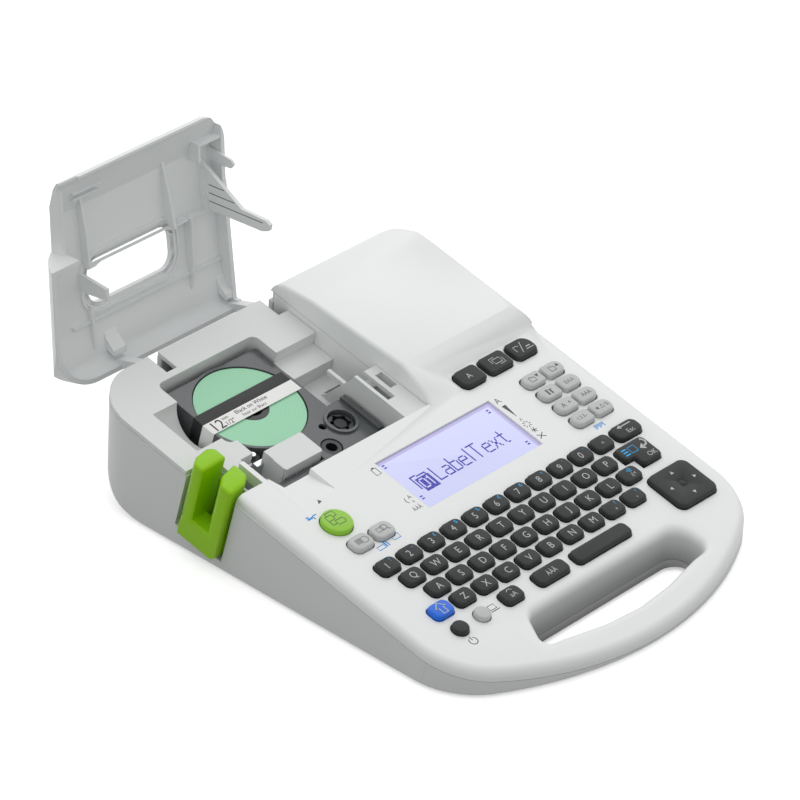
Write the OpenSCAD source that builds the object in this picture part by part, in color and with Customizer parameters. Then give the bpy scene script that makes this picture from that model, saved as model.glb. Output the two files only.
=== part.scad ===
// Desktop label maker with a keyboard, an open tape cover and a tape cassette.
// Millimetres, +Z up, origin at the middle of the footprint on the desk.
// The working face is a sloped deck: everything on it is placed in deck coordinates,
// x from the column of the first number key, y up the slope, z square to the deck.

/* [Case] */
// overall width over the side walls
body_w = 170; // [168:0.5:173]
// overall depth from the front bow to the rear wall
body_d = 215; // [214:0.5:218]
// height of the deck over the desk at mid depth
deck_z = 30.8; // [30.6:0.1:32]
// slope of the deck in degrees
tilt = 12.4; // [12.2:0.1:12.6]
// wall thickness of both case halves
wall = 2.2; // [1.9:0.1:2.4]
// height of the feet
foot_h = 1.2; // [0.8:0.1:1.6]
// radius of the front bow
bow_r = 140.6; // [136:0.2:146]
// radius of the two front corners
front_r = 30; // [26:0.5:34]
// radius of the two rear corners
rear_r = 22; // [20:0.5:24]
// radius under the rear wall
tail_r = 32; // [28:0.5:36]
// depth of the joint line between the case halves under the deck
seam = 5; // [4.6:0.1:5.4]
// height of the hump over the deck at its crease
hump_h = 7.65; // [7.3:0.05:8.2]

/* [Handle] */
// width of the handle bar
bar_w = 13; // [12:0.5:14]
// forward lean of the rear wall of the handle opening, degrees
grip_lean = 28; // [24:1:32]

/* [Keys] */
// height of the key tops over the deck
key_up = 2; // [1.6:0.1:2.4]
// travel of the keys
key_travel = 1.0; // [0.8:0.05:1.1]
// width of a character key
key_w = 9.9; // [9.6:0.1:10.1]
// depth of a character key
key_d = 7.2; // [6.9:0.1:7.3]
// gap round each key in the deck
key_gap = 0.35; // [0.25:0.05:0.4]
// radius of the print button
print_r = 6.2; // [5.8:0.1:6.4]

/* [Display] */
// width of the display opening
lcd_w = 63.9; // [62:0.5:65]
// depth of the display opening
lcd_d = 28.8; // [27:0.2:29.4]

/* [Compartment] */
// depth of the cassette compartment's plate under the deck line
plate_dn = 7.5; // [7.2:0.1:7.8]
// depth of the cassette's top under the deck line
cas_top = 11.5; // [11.2:0.1:11.8]
// thickness of the cassette
cas_h = 16.5; // [16:0.1:16.8]
// radius of the tape roll
roll_r = 22.0; // [20:0.2:22.2]
// radius of the tape roll's core
core_r = 7.5; // [6.5:0.1:8.5]
// width of the tape, which is the height of the roll
tape_h = 12; // [9:0.5:12.5]

/* [Cover] */
// thickness of the tape cover
cover_t = 2; // [1.8:0.1:2.2]
// radius of the hinge pin
pin_r = 1.5; // [1.3:0.05:1.7]
// running gap round the hinge pin
pin_gap = 0.05; // [0.03:0.01:0.08]

/* [Drive] */
// gear module
gear_m = 0.8; // [0.78:0.01:0.8]
// thickness of the gears
gear_t = 2; // [1.6:0.1:2.1]
// radius of the platen roller
platen_r = 3.0; // [2.6:0.1:3.1]

/* [Hidden] */
$fn = 48;
eps = 0.02;
gap = 0.3;

// case outline
hw = body_w/2;
yb = body_d/2;
edge_l = 19.7;
x0 = edge_l - hw;
y0 = yb - 107.5;
bow_y = bow_r - yb;
fc_x = hw - front_r;
fc_y = bow_y - sqrt(pow(bow_r - front_r, 2) - pow(fc_x, 2));
bow_a = atan2(fc_x, bow_y - fc_y);
u_r = body_w - edge_l;

// hump profile in deck coordinates
toe_v = 21.5;
crease_v = 40.2;
ridge_v = 88.9;
tail_v = 100.4;
comp_r = 80;
comp_f = 23.6;

// handle opening
hole_f = -100.1;
hole_b = -74;

// keys
pitch = 12;
row_p = 9.07;
row_s = 4;
row_y = -30.6;
kr = 2.6;
row_n = [11, 10, 10, 9];
deck_t = 2.4;
flange_t = 0.8;
flange_z = -deck_t - gap - flange_t;
stem_z = flange_z - 0.7;
pad_z = stem_z - key_travel - 0.25;

// cassette compartment
floor_z = -cas_top - cas_h - 0.6;
floor_t = 1.6;
roll_x = 31.1;
roll_y = 69;
take_x = 54.9;
take_y = 43.3;
sup_x = 41.6;
sup_y = 35.3;
plat_x = 12.6;
plat_y = 49.2;

// gears under the compartment floor
n_mot = 10;
n_idl = 16;
n_take = 24;
n_wide = 35;
n_plat = 13;
mot_x = 73.8;
mot_y = 30.5;
mot_r = 4.4;
stub_r = 1.2;
run = 0.05;
gear_z = floor_z - floor_t - 0.4 - gear_t;

// hinge of the cover
hin_y = y0 + 109.7;
hin_z = deck_z + 4.7;
cover_r = comp_r - 0.4;
cover_l = -7.2;
arm_u = [16.1, 77.2];
arm_w = 4.4;
knuck_r = 3.6;
open_a = -107.1;

// battery bay
bat_n = 6;
bat_r = 7.15;
bat_p = 14.5;
bat_len = 49.2;
bay_w = 54;
bay_u = u_r - bay_w - 12.8;
bay_y = y0 - 8;
bay_l = bat_n*bat_p;
lid_t = 1.4;
bay_h = lid_t + 2*bat_r + 0.1;

// ---------- frames and profiles ----------

module deck() {
  translate([x0, y0, deck_z]) rotate([tilt, 0, 0]) children();
}

// extrudes a profile drawn in deck y, z along the deck's x axis
module along(x1, x2) {
  deck() translate([x1, 0, 0]) rotate([90, 0, 90]) linear_extrude(x2 - x1) children();
}

// sector of the front bow down to its tangent points with the corner circles
module bow_sector(e) {
  k = 2*bow_r;
  intersection() {
    translate([0, bow_y]) circle(bow_r - e, $fn = 200);
    polygon([[0, bow_y], [k*sin(bow_a), bow_y - k*cos(bow_a)], [0, bow_y - 2*k],
      [-k*sin(bow_a), bow_y - k*cos(bow_a)]]);
  }
}

// outline of the case seen from above, inset by e
module plan2d(e = 0) {
  bow_sector(e);
  for (s = [-1, 1]) translate([s*fc_x, fc_y]) circle(front_r - e, $fn = 96);
  for (s = [-1, 1]) translate([s*(hw - rear_r), yb - rear_r]) circle(rear_r - e, $fn = 96);
  translate([-hw + e, fc_y]) square([2*(hw - e), yb - rear_r - fc_y]);
  translate([-hw + rear_r, 0]) square([2*(hw - rear_r), yb - e]);
}

module plan(e = 0, z1 = 0, z2 = 64) {
  translate([0, 0, z1]) linear_extrude(z2 - z1) plan2d(e);
}

// side profile of the underside: flat with a large radius up into the rear wall
module tail_solid(e) {
  translate([-hw - 1, 0, 0]) rotate([90, 0, 90]) linear_extrude(body_w + 2) union() {
    translate([-yb - 2, foot_h + e]) square([body_d + 2 - tail_r, 80]);
    translate([-yb - 2, foot_h + tail_r]) square([body_d + 2 - e, 80]);
    translate([yb - tail_r, foot_h + tail_r]) circle(tail_r - e, $fn = 120);
  }
}

// top of the deck and of the hump
module top2d(e = 0, t1 = toe_v, t2 = [27.2, 3.64]) {
  polygon([[-170, -64], [-170, -e], [t1, -e], [t2[0], t2[1] - e], [crease_v, hump_h - e],
    [ridge_v, hump_h - 3.75 - e], [102.2, 1.29 - e], [tail_v, -6.5], [108.25 - e, -8.2],
    [95.4 - e, -66.8]]);
  translate([tail_v, -6.5]) circle(8 - e, $fn = 72);
}

// the same over the keys at the right, where the hump starts further up
module top_right2d(e = 0) top2d(e, 32, [36, 4.6]);

// extrudes a profile drawn in deck x, z down the slope from v2 to v1
module across(v1, v2) {
  deck() translate([0, v2, 0]) rotate([90, 0, 0]) linear_extrude(v2 - v1) children();
}

// soft fall of the hump's front towards the keys at the right
ramp_u = 97.5;
ramp_w = 15;
module ramp2d(e = 0) {
  k = ramp_w/hump_h;
  n = sqrt(1 + k*k);
  translate([-e/n, -e*k/n]) polygon([[-60, -60], [-60, 60], [ramp_u - 60*k, 60], [ramp_u + 60*k, -60]]);
}

// wide roll of the hump into the right wall
roll_e = 11.3;
roll_u = u_r - sqrt(pow(roll_e, 2) - pow(hump_h - roll_e, 2));
module edge2d(e = 0) {
  translate([roll_u, hump_h - roll_e]) circle(roll_e - e, $fn = 120);
  translate([-60, -60]) square([60 + roll_u, 120]);
  translate([-60, -60]) square([62 + u_r, 60]);
}

module above(z, x1 = -60, x2 = 200) {
  deck() translate([x1, -170, z]) cube([x2 - x1, 320, 90]);
}

module below(z, x1 = -60, x2 = 200) {
  deck() translate([x1, -170, z - 90]) cube([x2 - x1, 320, 90]);
}

module rrect(w, d, r) {
  square([w - 2*r, d], center = true);
  square([w, d - 2*r], center = true);
  for (i = [-1, 1], j = [-1, 1]) translate([i*(w/2 - r), j*(d/2 - r)]) circle(r);
}

// ---------- keys: outlines ----------

module ok2d(g = 0) {
  difference() {
    translate([128.1, -42.3]) rrect(16.4 + 2*g, 12.2 + 2*g, 2.4);
    translate([110, -60]) square([15 - g, 16.6 - g]);
  }
}

module cap2d(k, g = 0) {
  if (k == "esc") translate([134.2, row_y]) rrect(14.2 + 2*g, 7.4 + 2*g, 3);
  if (k == "ok") ok2d(g);
  if (k == "arrows") translate([130, -63.8]) rrect(21.8 + 2*g, 19.8 + 2*g, 3.6);
  if (k == "shift") translate([0, -57.8]) rrect(key_w + 2*g, key_d + 2*g, kr);
  if (k == "case") translate([28, -67.5]) rrect(key_w + 2*g, key_d + 2*g, kr);
  if (k == "accent") translate([49.6, -67.7]) rrect(17 + 2*g, 7.2 + 2*g, kr);
  if (k == "space") translate([77.8, -67.9]) rrect(31 + 2*g, 6.8 + 2*g, kr);
  if (k == "power") translate([-0.7, -68.4]) circle(3.3 + g);
  if (k == "link") translate([11.6, -68]) circle(3.3 + g);
  if (k == "print") translate([1.1, -3.2]) circle(print_r + g, $fn = 72);
  if (k == "copy") translate([0.7, -16.1]) rrect(10 + 2*g, 7.4 + 2*g, 3);
  if (k == "preview") translate([12.1, -16.1]) rrect(10 + 2*g, 7.4 + 2*g, 3);
  if (k == "fn_left") translate([104.2, 24.9]) rrect(12.5 + 2*g, 9.2 + 2*g, 3.2);
  if (k == "fn_mid") translate([119.2, 24.9]) rrect(13.2 + 2*g, 9.2 + 2*g, 2.4);
  if (k == "fn_right") translate([134.2, 24.9]) rrect(12.5 + 2*g, 9.2 + 2*g, 3.2);
  for (j = [0:3]) if (k == ["file", "form", "style", "symbol"][j])
    for (i = [0, 1]) translate([124.3 + 11.4*i, 9.6 - 8.65*j]) rrect(10.2 + 2*g, 6.6 + 2*g, 2.6);
  for (r = [0:3]) if (k == ["numbers", "q", "a", "z"][r])
    for (c = [0:row_n[r] - 1]) translate([c*pitch + key_off(r), row_y - r*row_p])
      rrect(key_w + 2*g, key_d + 2*g, kr);
}

// offset of a row's first key from the column of the first number key
function key_off(r) = r*row_s;

all_keys = ["numbers", "q", "a", "z", "esc", "ok", "arrows", "shift", "case", "accent", "space",
  "power", "link", "print", "copy", "preview", "fn_left", "fn_mid", "fn_right",
  "file", "form", "style", "symbol"];

// places of the stems under the keys
function stems(k) =
  k == "esc" ? [[134.2, row_y]] :
  k == "ok" ? [[131, -41.5]] :
  k == "arrows" ? [[124, -63.8], [136, -63.8]] :
  k == "shift" ? [[0, -57.8]] :
  k == "case" ? [[28, -67.5]] :
  k == "accent" ? [[49.6, -67.7]] :
  k == "space" ? [[68, -67.9], [87.6, -67.9]] :
  k == "power" ? [[-0.7, -68.4]] :
  k == "link" ? [[11.6, -68]] :
  k == "print" ? [[1.1, -3.2]] :
  k == "copy" ? [[0.7, -16.1]] :
  k == "preview" ? [[12.1, -16.1]] :
  k == "fn_left" ? [[104.2, 24.9]] :
  k == "fn_mid" ? [[119.2, 24.9]] :
  k == "fn_right" ? [[134.2, 24.9]] :
  k == "file" ? [for (i = [0, 1]) [124.3 + 11.4*i, 9.6]] :
  k == "form" ? [for (i = [0, 1]) [124.3 + 11.4*i, 9.6 - 8.65]] :
  k == "style" ? [for (i = [0, 1]) [124.3 + 11.4*i, 9.6 - 17.3]] :
  k == "symbol" ? [for (i = [0, 1]) [124.3 + 11.4*i, 9.6 - 25.95]] :
  k == "numbers" ? [for (c = [0:10]) [c*pitch, row_y]] :
  k == "q" ? [for (c = [0:9]) [c*pitch + row_s, row_y - row_p]] :
  k == "a" ? [for (c = [0:9]) [c*pitch + 2*row_s, row_y - 2*row_p]] :
  [for (c = [0:8]) [c*pitch + 3*row_s, row_y - 3*row_p]];

// a key: the cap through the deck, a flange that holds it in, and a stem on the sheet
module key_shape(k) {
  deck() {
    translate([0, 0, flange_z + flange_t - eps])
      linear_extrude(key_up - flange_z - flange_t + eps) cap2d(k);
    translate([0, 0, flange_z]) linear_extrude(flange_t) cap2d(k, key_gap + 0.1);
    for (p = stems(k)) translate([p[0], p[1], stem_z]) cylinder(r = 1.7, h = 0.8);
  }
}

// ---------- case ----------

// handle opening: a rounded outline whose rear and right walls lean forward and inward
module hole2d() {
  translate([67.6, -84]) rrect(99.6, 20, 5);
  intersection() {
    translate([66.2, hole_f + 145 + 13 - bar_w]) circle(145, $fn = 200);
    translate([66.2 - 43.5, hole_f - 4]) square([87, 12]);
  }
}

module grip_hole() {
  intersection() {
    deck() translate([0, 0, -60]) linear_extrude(80) hole2d();
    deck() translate([-60, hole_b, 0]) rotate([-grip_lean, 0, 0]) translate([0, -120, -90])
      cube([260, 120, 180]);
    deck() translate([119, 0, 0]) rotate([0, 40, 0]) translate([-200, -170, -90])
      cube([200, 200, 180]);
  }
}

// space over the cassette compartment, clear of the finger platform at its left front
module bay2d(g = 0) {
  difference() {
    translate([-40, comp_f - g]) square([comp_r + g + 40, 120]);
    translate([-8.9 + g, comp_f - g - 1]) square([10.4 - 2*g, 18.6]);
    translate([-40, comp_f - g - 1]) square([32, 5.6]);
  }
}

// notch of the cutter lever in the left wall
lev_v1 = 28.2;
lev_v2 = 52.8;
lev_in = -6.2;
lev_floor = -33.4;
module lever_pocket(g = 0) {
  deck() translate([-60, lev_v1, lev_floor]) cube([60 + lev_in, lev_v2 - lev_v1, 60]);
}

module handle_zone() {
  deck() translate([-60, -170, -80]) cube([260, 170 + hole_b + 3.4, 120]);
}

// places of the case screws: x from the middle, y
boss = [[-hw + 9, -yb + 62], [hw - 9, -yb + 60], [hw - 9, yb - 23.5], [x0 + 110.5, y0 - 17],
  [x0 + 22, y0 + 12]];
split_dn = 6.5;
function joint_z(y) = z_at(y) - split_dn/cos(tilt);

// everything under the surface of the deck and the hump, inset by e
module hump_form(e = 0) intersection() {
  union() {
    intersection() {
      along(-40, 110) top2d(e);
      across(-175, 125) ramp2d(e);
    }
    along(-40, 200) top_right2d(e);
  }
  across(-175, 125) edge2d(e);
}

module upper_shell() {
  difference() {
    intersection() {
      plan(0, 0, 64);
      hump_form(0);
      above(-seam);
    }
    // inside
    difference() {
      intersection() {
        plan(wall, -1, 64);
        hump_form(deck_t);
      }
      handle_zone();
      along(comp_r - 1, comp_r + wall) translate([comp_f - wall, -30]) square([100, 60]);
      along(-40, comp_r + wall) translate([comp_f - wall, -30]) square([wall, 60]);
    }
  }
}

module upper_case() color("#e9eceb") {
  difference() {
    union() {
      upper_shell();
      // pad under the finger scoop
      deck() translate([-6, 8, -seam]) cube([24, comp_f - 8, seam - 0.2]);
      // pillars for the screws
      for (p = boss) intersection() {
        translate([p[0], p[1], 6]) cylinder(r = 3.2, h = 60);
        along(-40, 200) top_right2d(1);
        above(-split_dn);
      }
      // inner wall of the hump, down beside the compartment
      intersection() {
        along(comp_r, comp_r + wall) translate([comp_f - wall, -20]) square([92, 20 - seam + eps]);
        plan(wall + gap);
      }
      // posts that carry the key board
      deck() for (p = board_posts) translate([p[0], p[1], -board_dn]) cylinder(r = 1.4, h = board_dn - 1);
      // platform beside the lever, down to the joint line
      deck() translate([-18, comp_f - 2, -seam]) cube([19.5, 19, seam]);
    }
    // left of the hump everything over the deck line goes, and the compartment is open
    deck() translate([-60, toe_v - 3, 0]) cube([60 + comp_r, 120, 40]);
    deck() translate([0, 0, -40]) linear_extrude(80) bay2d();
    lever_pocket(0);
    grip_hole();
    // openings of the keys
    deck() translate([0, 0, -30]) linear_extrude(60) for (k = all_keys) cap2d(k, key_gap);
    // display opening
    deck() translate([69.45 - lcd_w/2, -2.5 - lcd_d/2, -30]) cube([lcd_w, lcd_d, 60]);
    // room under the deck for the flanges of the keys
    deck() translate([0, 0, -seam - 1]) linear_extrude(seam + 1 - deck_t) for (k = all_keys) cap2d(k, 0.8);
    // finger scoop falling towards the compartment
    deck() translate([-4, 10.6, 0.01]) rotate([-13, 0, 0]) cube([18.5, 30, 9]);
    // screw holes in the pillars
    for (p = boss) translate([p[0], p[1], 0]) cylinder(r = 1.05, h = joint_z(p[1]) + 3.4);
    // room for the hinge knuckle beside the hump
    hinge_room();
  }
}

// height of the deck over the desk at a depth y
function z_at(y) = deck_z + (y - y0)*tan(tilt);

// room inside the lower case
module tub_room() intersection() {
  plan(wall, -1, 64);
  tail_solid(wall);
}

module foot_recesses() {
  for (p = foot_at) translate([p[0], p[1], -1]) cylinder(r = foot_r, h = foot_h + 1 + 0.5);
}

module screw_ways() {
  for (p = boss) translate([p[0], p[1], -1]) {
    cylinder(r = 1.35, h = 70);
    cylinder(r = 2.4, h = joint_z(p[1]) - 4 + 1);
  }
}

// tub of the lower half, open to the grip frame at its front
module lower_case() color("#c9cccb") {
  difference() {
    union() {
      difference() {
        intersection() {
          plan(0, 0, 64);
          tail_solid(0);
          below(-seam);
        }
        tub_room();
        // left and rear edge drops to the plate of the compartment
        deck() translate([-60, 42, -plate_dn - 1.9]) cube([60 + comp_r + wall, 120, 40]);
      }
      // bearing lugs of the hinge
      for (u = arm_u, s = [-1, 1]) hinge_lug(u + s*(arm_w/2 + 0.35 + 1.1));
    }
    handle_zone();
    lever_pocket(0);
    // opening of the battery bay and the rebate of its cover
    translate([x0 + bay_u, bay_y, -1]) cube([bay_w, bay_l, 20]);
    translate([x0 + bay_u - 2.6, bay_y - 1.5, -1]) cube([bay_w + 5.2, bay_l + 3, foot_h + 1 + lid_t]);
    screw_ways();
    // hinge pin and the room for the arms of the cover
    hinge_room();
    pin_bores(pin_r);
    // sockets in the rear wall
    dc_cut();
    usb_cut();
    foot_recesses();
  }
}

// solid lower half of the frame round the handle opening
module grip_frame() color("#c9cccb") difference() {
  intersection() {
    plan(0, 0, 64);
    tail_solid(0);
    below(-seam);
    handle_zone();
  }
  grip_hole();
  foot_recesses();
}

// battery box, screw bosses, cutter pocket and supports on the floor of the tub
module chassis() color("#c9cccb") difference() {
  intersection() {
    union() {
      translate([x0 + bay_u - 1.6, bay_y - 1.6, foot_h]) cube([bay_w + 3.2, bay_l + 3.2, bay_h + 1.6]);
      for (p = boss) intersection() {
        translate([p[0], p[1], foot_h]) cylinder(r = 3.2, h = 60);
        below(-split_dn);
      }
      // lining of the cutter's pocket
      deck() translate([-30, lev_v1 - 1.2, lev_floor - 1.2])
        cube([31.2 + lev_in, lev_v2 - lev_v1 + 2.4, -plate_dn - 2.1 - lev_floor + 1.2]);
      // standoffs of the main board
      for (p = stand) translate([p[0], p[1], foot_h]) cylinder(r = 2.4, h = pcb_z - foot_h);
      // supports of the compartment moulding
      post(-9, 92, -plate_dn - 1.8);
      post(40, 99.2, -plate_dn - 1.8);
      post(70, 92, -plate_dn - 1.8);
      post(30, 27, floor_z - floor_t);
    }
    tub_room();
  }
  lever_pocket(0);
  // outlet of the tape into the cutter
  deck() translate([lev_in - 1, 41.2, -27]) cube([4, 4.4, 16.5]);
  // inside of the battery box
  translate([x0 + bay_u, bay_y, -1]) cube([bay_w, bay_l, bay_h + foot_h + 1]);
  screw_ways();
  // seat of the lever's pivot
  deck() translate([lev_pu, lev_v1 - 1.2, lev_ph]) rotate([-90, 0, 0]) cylinder(r = 1.5, h = 30);
}

foot_r = 3.8;
foot_at = [[0, 0], [-hw + 26, -yb + 42], [hw - 26, -yb + 42], [-hw + 24, yb - 46], [hw - 5.8, yb - 46]];
pcb_z = 6.4;
pcb_x = [-55, 14];
pcb_y = [-54, -6];
stand = [[-51, -50], [10, -50], [-51, -10], [10, -10]];
board_posts = [[24, -20], [112, -6], [19, -67], [106, -66]];

// post of the lower case in the direction of the deck, up to height z
module post(u, v, z) intersection() {
  deck() translate([u, v, -60]) cylinder(r = 2.4, h = 60 + z);
  tail_solid(0.5);
}

// room behind the rear wall and in the two notches for the arms of the cover
module hinge_room() {
  for (u = arm_u) {
    translate([x0 + u - arm_w/2 - 0.45, yb - 10.4, hin_z - 5.5]) cube([arm_w + 0.9, 26, 60]);
    translate([x0 + u - arm_w/2 - 0.45, hin_y, hin_z]) rotate([0, 90, 0])
      cylinder(r = knuck_r + 0.5, h = arm_w + 0.9);
  }
}

module hinge_lug(u) {
  translate([x0 + u - 1.1, hin_y, hin_z]) rotate([0, 90, 0]) cylinder(r = 3.3, h = 2.2);
  translate([x0 + u - 1.1, yb - wall, hin_z - 3.3]) cube([2.2, hin_y - yb + wall, 6.6]);
}

// openings in the rear wall
jack_x = hw - 26;
port_x = hw - 48;
io_z = deck_z + 9.6;
jack_r = 2.8;
module dc_cut() {
  translate([jack_x, yb + 1, io_z]) rotate([90, 0, 0]) cylinder(r = 4.2, h = wall + 2);
}
module usb_cut() {
  translate([port_x - 4.2, yb - wall - 1, io_z - 2.2]) cube([8.4, wall + 2, 4.4]);
}

module pin_bores(r) {
  translate([x0 + arm_u[0] - 6, hin_y, hin_z]) rotate([0, 90, 0]) cylinder(r = r, h = 12);
  translate([x0 + arm_u[1] - 6, hin_y, hin_z]) rotate([0, 90, 0]) cylinder(r = r, h = 12);
}

// ---------- compartment moulding ----------

module chamber2d(g = 0) {
  difference() {
    union() {
      // square part over the roll, wider than the cassette at its left
      translate([31.4, 75.15]) rrect(52.8 + 2*g, 39.3 + 2*g, 3 + g);
      translate([roll_x, roll_y]) circle(24.4 + g, $fn = 96);
      translate([33.4 - g, 24.8 - g]) square([34.1 + 2*g, 29 + 2*g]);
      translate([2.5 - g, 24.8 - g]) square([40 + 2*g, 9 + 2*g]);
      translate([2.5 - g, 24.8 - g]) square([10.6 + 2*g, 22 + 2*g]);
      translate([9.2 - g, 40 - g]) square([20 + 2*g, 16.5 + 2*g]);
      translate([33 - g, 45 - g]) square([25 + 2*g, 30 + 2*g]);
    }
    translate([13.4 + g, 33 + g]) square([19.6 - 2*g, 12.2 - 2*g]);
  }
}

module tray() color("#e2e5e4") {
  difference() {
    union() {
      // plate, cut to the outline of the case
      intersection() {
        plan(0.15, 0, 64);
        deck() difference() {
          translate([-60, 42.5, -plate_dn - 1.8]) cube([60 + comp_r - 0.2, 90, 1.8]);
          translate([-60, 40, -20]) cube([60 + lev_in - 0.4 + 0.8, 13.6, 30]);
        }
      }
      // walls and floor round the cassette
      deck() intersection() {
        translate([0, 0, floor_z - floor_t]) linear_extrude(-plate_dn - floor_z + floor_t - eps)
          chamber2d(1.6);
        translate([-30, comp_f + 0.15, -60]) cube([110, 80, 60]);
      }
      // ledge beside the hump with the two slots
      deck() translate([67.5, comp_f + 0.15, -3]) cube([comp_r - 67.7, 27.7, 2]);
      deck() translate([67.5, comp_f + 0.15, floor_z]) cube([1.6, 27.7, -floor_z - 1.2]);
      deck() translate([78.6, comp_f + 0.15, -14]) cube([comp_r - 78.8, 27.7, 12]);
      deck() translate([67.5, comp_f + 0.15, floor_z - floor_t]) cube([comp_r - 67.7, 27.7, floor_t]);
      deck() translate([78.6, comp_f + 0.15, floor_z - floor_t]) cube([comp_r - 78.8, 27.7, 17]);
      // steps between the roll and the hump
      deck() translate([56, 64.3, -21.8]) cube([comp_r - 56.2, 9, 1.8]);
      deck() translate([56, 71.4, -21.8]) cube([comp_r - 56.2, 1.6, 8.8]);
      deck() translate([56, 71.4, -14.8]) cube([comp_r - 56.2, 12.4, 1.8]);
      deck() translate([56, 82.4, -14.8]) cube([comp_r - 56.2, 1.6, 7.2]);
      deck() translate([56, 53, -21.8]) cube([13.1, 12, 1.8]);
      along(67.5, 69.1) polygon([[51, -1.2], [51, -21], [64.4, -21], [64.4, -20], [62.6, -18.8]]);
      // guide block over the print head
      deck() translate([13.4, 33, floor_z]) cube([19.6, 12.2, -plate_dn - floor_z]);
      // small plate beside the outlet of the tape
      deck() translate([lev_in + 0.6, 46.6, -plate_dn - 1.8]) cube([8.9 - lev_in - 0.6, 7, 1.8]);
      deck() translate([-4.6, 52.2, floor_z]) cube([13.5, 1.4, -plate_dn - floor_z]);
      // well of the finger scoop at the left of the roll
      deck() intersection() {
        translate([-9.8, 57.6, -21.6]) cube([16, 27.6, 21.6 - plate_dn - eps]);
        translate([-9.8, 71.4, -plate_dn]) rotate([0, 90, 0]) cylinder(r = 13.6, h = 16);
      }
    }
    // cassette chamber
    deck() translate([0, 0, floor_z]) linear_extrude(60) chamber2d(0);
    // hollow under the guide block
    deck() translate([14.8, 34.4, floor_z - floor_t - 1]) cube([16.8, 9.4, -plate_dn - floor_z + floor_t + 1 - 1.6]);
    // outlet of the tape
    deck() translate([0, 41.6, -27]) cube([4, 5, 17]);
    // finger scoop
    deck() translate([-8, 71.4, -plate_dn]) rotate([0, 90, 0]) cylinder(r = 12, h = 16);
    // steps are open above
    deck() translate([57.8, 64.3, -20]) cube([comp_r - 57.8, 7.1, 30]);
    deck() translate([57.8, 51.6, -20]) cube([9.7, 19.8, 30]);
    deck() translate([57.8, 64.3, -13]) cube([comp_r - 57.8, 18.1, 30]);
    // well behind the ledge where the cover's finger goes in
    deck() translate([69.2, 51.6, -60]) cube([comp_r - 69.1, 12.7, 90]);
    // slots of the ledge
    deck() translate([69.1, 34.7, -10]) cube([3.9, 20, 20]);
    deck() translate([75, 39, -20]) cube([3.7, 8.4, 30]);
    // shafts of the gears
    deck() translate([take_x, take_y, floor_z - 9]) cylinder(r = 2.5 + run, h = 20);
    deck() translate([plat_x, plat_y, floor_z - 9]) cylinder(r = stub_r + run, h = 20);
    deck() translate([mot_x, mot_y, floor_z - 9]) cylinder(r = 1.4, h = 10);
    // notches of the hinge arms
    hinge_room();
  }
  // spigots that centre the cassette's two loose cores
  deck() translate([roll_x, roll_y, floor_z - eps]) cylinder(r = bore_r - run, h = 8);
  deck() translate([sup_x, sup_y, floor_z - eps]) cylinder(r = 2.3 - run, h = 9);
  // axle stubs of the gears under the floor
  for (p = [idl_p, wide_p]) deck() translate([p[0], p[1], gear_z - 0.3]) cylinder(r = stub_r, h = gear_t + 0.8);
}
bore_r = 5;

// ---------- tape cover ----------

// slope of the cover's left side, seen from the front
side_r = 30.2;
module side2d(e = 0) {
  translate([7.5, -20.3]) circle(side_r - e, $fn = 160);
  translate([7.5, -60]) square([160, 120]);
}

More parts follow.
